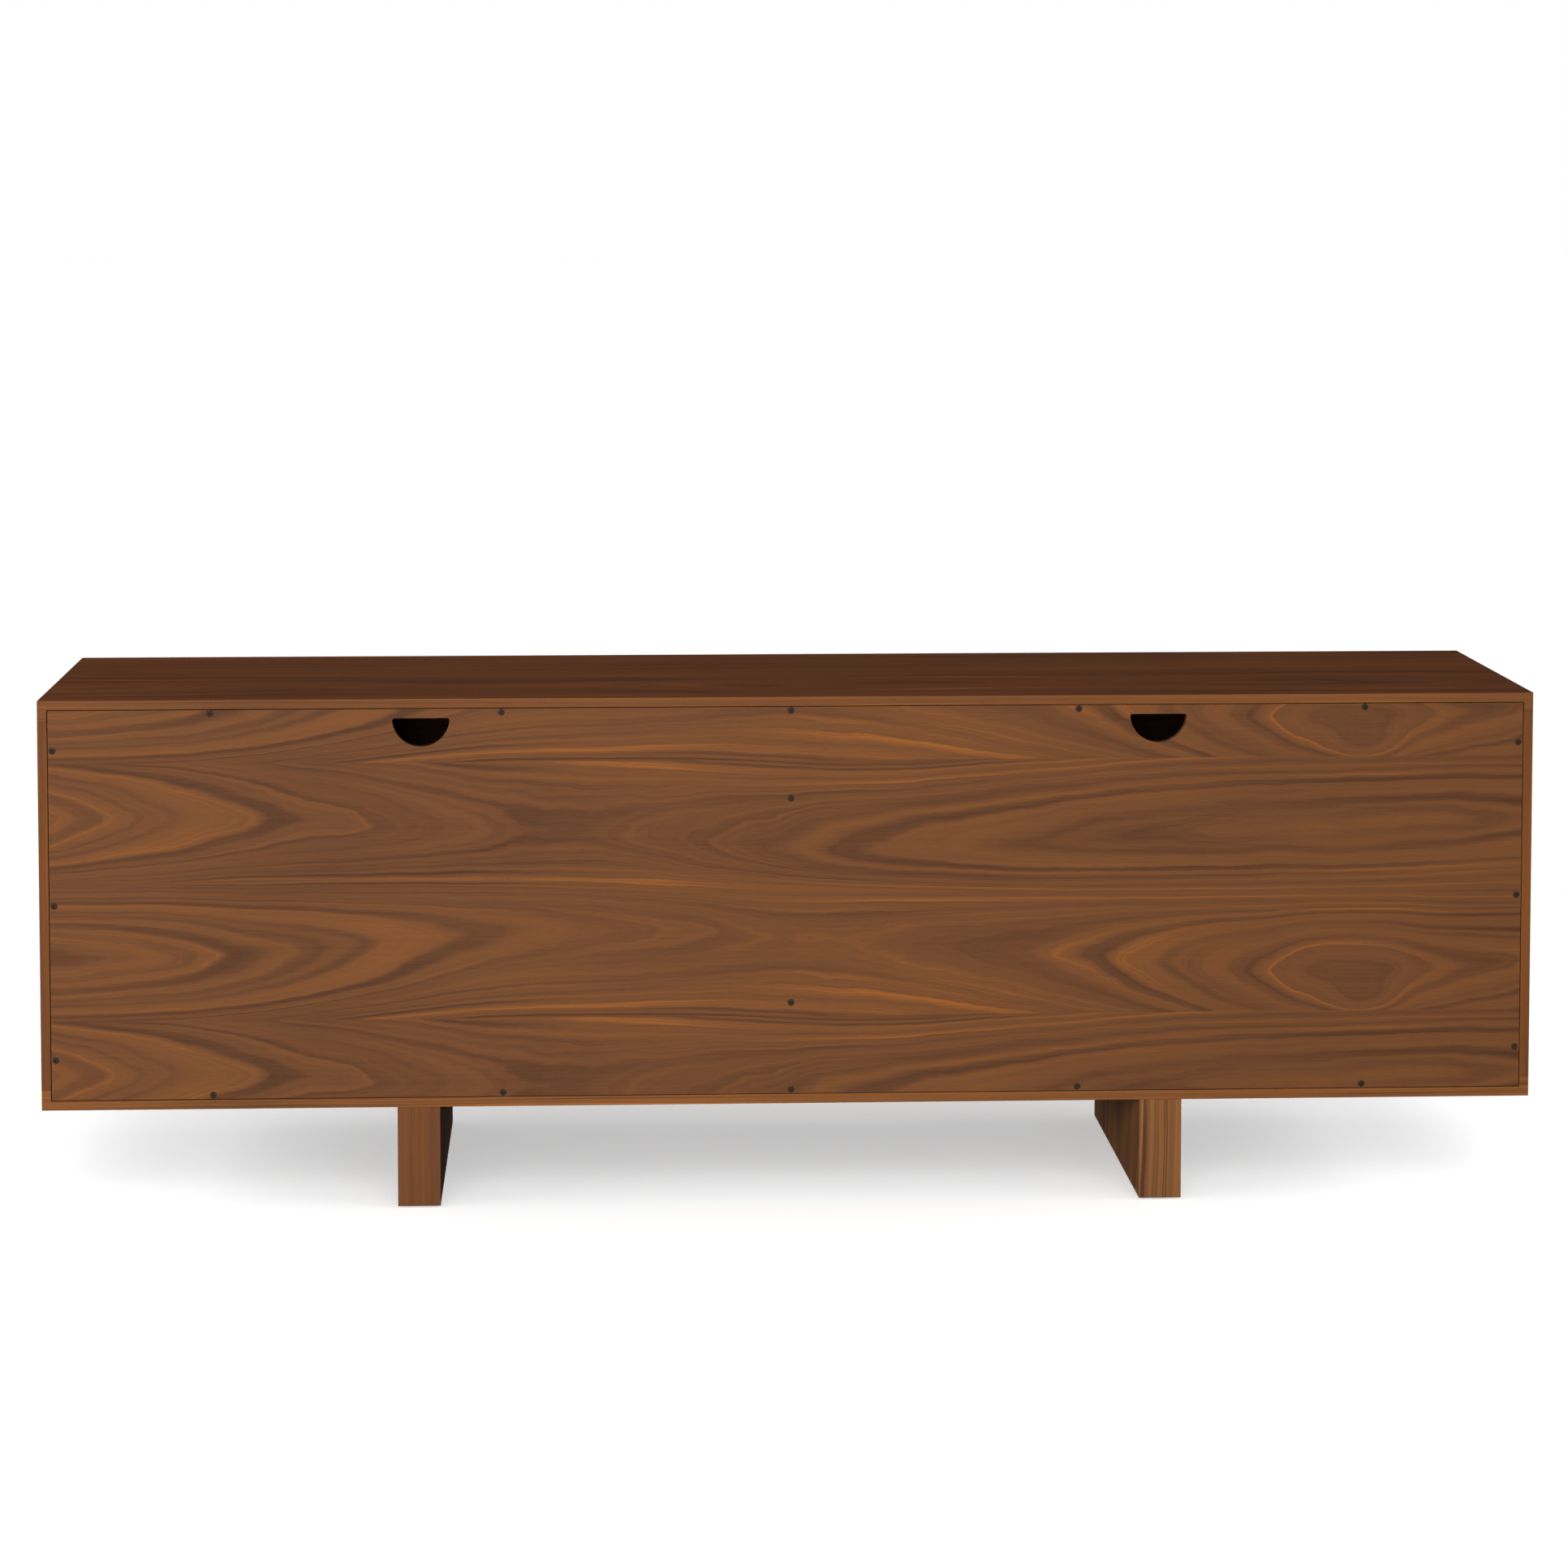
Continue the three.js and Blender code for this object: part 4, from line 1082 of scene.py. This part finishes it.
TURNED_SIDES = 48
ROUND_STEPS = 4
BOLT_HEAD = 5 * MM
BOLT_SHANK = 4 * MM
BOLT_EASE = 0.5 * MM
SOCKET_SIDES = 6
SOCKET_RADIUS = 3.4 * MM
SOCKET_DEPTH = 3 * MM
GLIDE_NAIL = 2 * MM
GLIDE_THICKNESS = 2 * MM
GLIDE_ROUND = 1.2 * MM
PIN_PEG = 2.5 * MM
PIN_PEG_LENGTH = 9 * MM
PIN_EASE = 0.5 * MM
STOP_ROUND = 1 * MM


def rounded_end(radius, rounding):
    """Profile points over a flat end at z = 0 whose rim is rounded."""
    turns = [math.pi / 2 * i / ROUND_STEPS for i in range(ROUND_STEPS + 1)]
    rim = [
        (radius - rounding * (1 - math.sin(a)), rounding * (1 - math.cos(a)))
        for a in turns
    ]
    return [(0, 0)] + rim


def build_turned(node, profile, direction, origin, material, tool=None):
    builder = lathe(profile, TURNED_SIDES)
    if tool:
        builder = cut(builder, tool)
    turned_to(builder, direction, origin)
    place_round_piece(f"{node}_turned", builder, [material], node)


def bolt_profile(length, head_radius):
    return [
        (0, -length),
        (BOLT_SHANK - BOLT_EASE, -length),
        (BOLT_SHANK, -length + BOLT_EASE),
        (BOLT_SHANK, -BOLT_HEAD),
        (head_radius - BOLT_EASE, -BOLT_HEAD),
        (head_radius, -BOLT_HEAD + BOLT_EASE),
        (head_radius, -BOLT_EASE),
        (head_radius - BOLT_EASE, 0),
        (0, 0),
    ]


def hexagonal_socket():
    profile = [
        (0, -SOCKET_DEPTH),
        (SOCKET_RADIUS, -SOCKET_DEPTH),
        (SOCKET_RADIUS, CUT_MARGIN),
        (0, CUT_MARGIN),
    ]
    return lathe(profile, SOCKET_SIDES)


def build_bolts():
    """Leg bolts with a hexagonal socket, standing in the bottom board."""
    for node in nodes_named("leg_bolt"):
        size = size_of(node)
        origin = (*centre_of(node).xy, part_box(node)[1].z)
        profile = bolt_profile(size.z, size.x / 2)
        build_turned(node, profile, (0, 0, 1), origin, "zinc_steel", hexagonal_socket())


def build_glides():
    """Round feet with a soft lower edge. The nail is hidden in the leg."""
    for node in nodes_named("foot_glide"):
        size = size_of(node)
        radius = size.x / 2
        profile = rounded_end(radius, GLIDE_ROUND) + [
            (radius, GLIDE_THICKNESS),
            (GLIDE_NAIL, GLIDE_THICKNESS),
            (GLIDE_NAIL, size.z - GLIDE_NAIL),
            (0, size.z),
        ]
        origin = (*centre_of(node).xy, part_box(node)[0].z)
        build_turned(node, profile, (0, 0, 1), origin, "plastic")


def pin_profile(stub, stub_length):
    return [
        (0, -PIN_PEG_LENGTH),
        (PIN_PEG - PIN_EASE, -PIN_PEG_LENGTH),
        (PIN_PEG, -PIN_PEG_LENGTH + PIN_EASE),
        (PIN_PEG, 0),
        (stub, 0),
        (stub, stub_length - PIN_EASE),
        (stub - PIN_EASE, stub_length),
        (0, stub_length),
    ]


def build_pins():
    """Stepped shelf pins: the peg lies in the board, the stub carries the shelf."""
    for side in SIDES:
        shelf_x = centre_of(f"{side}_shelf").x
        for node in nodes_named(f"{side}_shelf_pin"):
            low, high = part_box(node)
            middle = centre_of(node)
            towards = math.copysign(1, shelf_x - middle.x)
            stub_length = high.x - low.x - PIN_PEG_LENGTH
            shoulder = middle.x + towards * (PIN_PEG_LENGTH - stub_length) / 2
            profile = pin_profile((high.z - low.z) / 2, stub_length)
            origin = (shoulder, middle.y, middle.z)
            build_turned(node, profile, (towards, 0, 0), origin, "zinc_steel")


def build_stops():
    """Soft round stops for the doors' edges. Each one's rounded end looks towards the door."""
    for side, towards in (("left", 1), ("right", -1)):
        node = f"{side}_door_stop"
        size = size_of(node)
        radius = size.z / 2
        profile = rounded_end(radius, STOP_ROUND) + [(radius, size.x), (0, size.x)]
        middle = centre_of(node)
        origin = (middle.x + towards * size.x / 2, middle.y, middle.z)
        build_turned(node, profile, (-towards, 0, 0), origin, "rubber")


# ------------------------------------------------------------------ studio

CAMERA_PLACE = Vector((0.2436, 5.2916, 1.2629))
CAMERA_AIM = Vector((-0.04621, -0.99644, -0.07056))
CAMERA_SENSOR = 36
CAMERA_LENS = 95.9
CAMERA_SHIFT = -0.1996

# Each softbox: where it stands, its width and height, its level, and whether it gives gleams.
SOFTBOXES = {
    "key": ((1.6, 6.5, 2.0), 3.5, 2.2, 1.15, True),
    "front_fill": ((0, -5.5, 2.3), 1.6, 1.6, 0.6, False),
    "left_fill": ((-5.5, 0, 1.9), 1.4, 1.4, 0.25, False),
    "right_fill": ((5.5, 0, 1.9), 1.4, 1.4, 0.75, False),
}
SURROUND_LIGHT = 0.1

# Lamps that light only the floor. The last two are given as they stand on the right.
REAR_SUN = {"place": (0, 5, 1.6), "energy": 2.4, "angle": math.radians(60)}
HIGH_SUN = {"place": (0, 2.5, 5), "energy": 0.35, "angle": math.radians(90)}
GLOW = {"place": (0, 0, 5), "energy": 1.6, "use_shadow": False}
SIDE_SUN = {"place": (4.7, 1.3, 1.0), "energy": 1.2, "angle": math.radians(50)}
END_LAMP = {"place": (1.8, 0, 0.45), "energy": 5.2, "size": 0.4}

FLOOR_HALF_WIDTH = 60.0
FLOOR_DROP = 0.2 * MM
FLOOR_SHADES = ((0.9, 0.9, 0.9), (0.92, 0.92, 0.92))
FLOOR_ROUGHNESS = 0.9
MOTTLE_SCALE = (2.0, 2.0)


def studio_floor():
    graph = Graph("pale_floor")
    mottle = graph.noise(graph.scaled(graph.place(), MOTTLE_SCALE))
    colour = graph.mix(mottle, *FLOOR_SHADES)
    return graph.finish(colour, FLOOR_ROUGHNESS, mottle, 0.0, Specular_IOR_Level=0.0)


def add_light(name, kind, target, place, energy, **settings):
    """A lamp that points from its place to the target and isn't itself in the picture."""
    data = bpy.data.lights.new(name, kind)
    data.energy = energy
    for key, value in settings.items():
        setattr(data, key, value)
    light = bpy.data.objects.new(name, data)
    light.location = place
    light.rotation_mode = "QUATERNION"
    light.rotation_quaternion = (Vector(target) - Vector(place)).to_track_quat("-Z", "Y")
    light.visible_camera = False
    bpy.context.scene.collection.objects.link(light)
    return light


def softbox(name, place, width, height, level, gloss, spared):
    """A rectangular lamp, as strong as it takes to light the cabinet to the given level.

    It lights everything but the objects in the spared collection.
    """
    target = Vector((0, 0, (CASE_LOW.z + CASE_HIGH.z) / 2))
    power = level * math.pi**2 * (target - Vector(place)).length_squared
    lamp = add_light(name, "AREA", target, place, power, shape="RECTANGLE", size=width, size_y=height)
    lamp.visible_glossy = gloss
    lamp.light_linking.receiver_collection = spared


def floor_collection(name, floor, state):
    """A light-linking collection that holds only the floor, to be lit or to be spared."""
    collection = bpy.data.collections.new(name)
    collection.objects.link(floor)
    collection.collection_objects[0].light_linking.link_state = state
    return collection


def build_floor():
    """A pale floor just under the feet, which throws no light back at the wood."""
    builder = bmesh.new()
    bmesh.ops.create_grid(builder, x_segments=2, y_segments=2, size=FLOOR_HALF_WIDTH)
    bmesh.ops.translate(builder, vec=(0, 0, -FLOOR_DROP), verts=builder.verts)
    mesh = bpy.data.meshes.new("floor")
    builder.to_mesh(mesh)
    builder.free()
    mesh.materials.append(studio_floor())
    floor = bpy.data.objects.new("floor", mesh)
    floor.visible_diffuse = False
    floor.visible_glossy = False
    bpy.context.scene.collection.objects.link(floor)
    return floor


def build_world():
    """A white surround that gives only a little light of its own."""
    world = bpy.data.worlds.new("studio")
    bpy.context.scene.world = world
    world.use_nodes = True
    tree = world.node_tree
    background = tree.nodes["Background"]
    background.inputs["Color"].default_value = (1, 1, 1, 1)
    path = tree.nodes.new("ShaderNodeLightPath")
    strength = tree.nodes.new("ShaderNodeMapRange")
    strength.inputs["To Min"].default_value = SURROUND_LIGHT
    strength.inputs["To Max"].default_value = 1.0
    tree.links.new(path.outputs["Is Camera Ray"], strength.inputs["Value"])
    tree.links.new(strength.outputs[0], background.inputs["Strength"])


def on_side(lamp, out):
    """A lamp's settings for the left (out is -1) or the right (out is 1)."""
    x, y, z = lamp["place"]
    return {**lamp, "place": (out * x, y, z)}


def build_floor_lamps(floor):
    """Soft lamps that light only the floor.

    A low sun behind and one at each side reach in under the case, so its shadow fades outwards.
    A small lamp beyond each end brightens the floor there, a high sun the open floor. A plain
    glow lifts the deepest shade.
    """
    lit = floor_collection("lit_by_floor_lamps", floor, "INCLUDE")
    middle = (0, 0, 0)
    lamps = [
        add_light("floor_rear", "SUN", middle, **REAR_SUN),
        add_light("floor_high", "SUN", middle, **HIGH_SUN),
        add_light("floor_glow", "SUN", middle, **GLOW),
    ]
    for side, out in (("left", -1), ("right", 1)):
        case_end = (out * CASE_WIDTH / 2, 0, 0)
        lamps.append(add_light(f"floor_{side}", "SUN", middle, **on_side(SIDE_SUN, out)))
        lamps.append(add_light(f"floor_{side}_end", "AREA", case_end, **on_side(END_LAMP, out)))
    for lamp in lamps:
        lamp.light_linking.receiver_collection = lit


def build_studio():
    floor = build_floor()
    build_world()
    build_floor_lamps(floor)
    spared = floor_collection("spared_by_softboxes", floor, "EXCLUDE")
    for name, settings in SOFTBOXES.items():
        softbox(name, *settings, spared)
    bpy.context.scene.view_settings.view_transform = "Standard"


def build_camera():
    """A long lens behind the cabinet, a little above it, so its back fills the frame."""
    data = bpy.data.cameras.new("camera")
    data.sensor_width = CAMERA_SENSOR
    data.lens = CAMERA_LENS
    data.shift_y = CAMERA_SHIFT
    camera = bpy.data.objects.new("camera", data)
    camera.location = CAMERA_PLACE
    camera.rotation_mode = "QUATERNION"
    camera.rotation_quaternion = CAMERA_AIM.to_track_quat("-Z", "Y")
    bpy.context.scene.collection.objects.link(camera)
    bpy.context.scene.camera = camera


build_camera()
build_case()
build_back_panel()
build_screws()
build_doors()
build_tracks()
build_bolts()
build_glides()
build_pins()
build_stops()
build_studio()
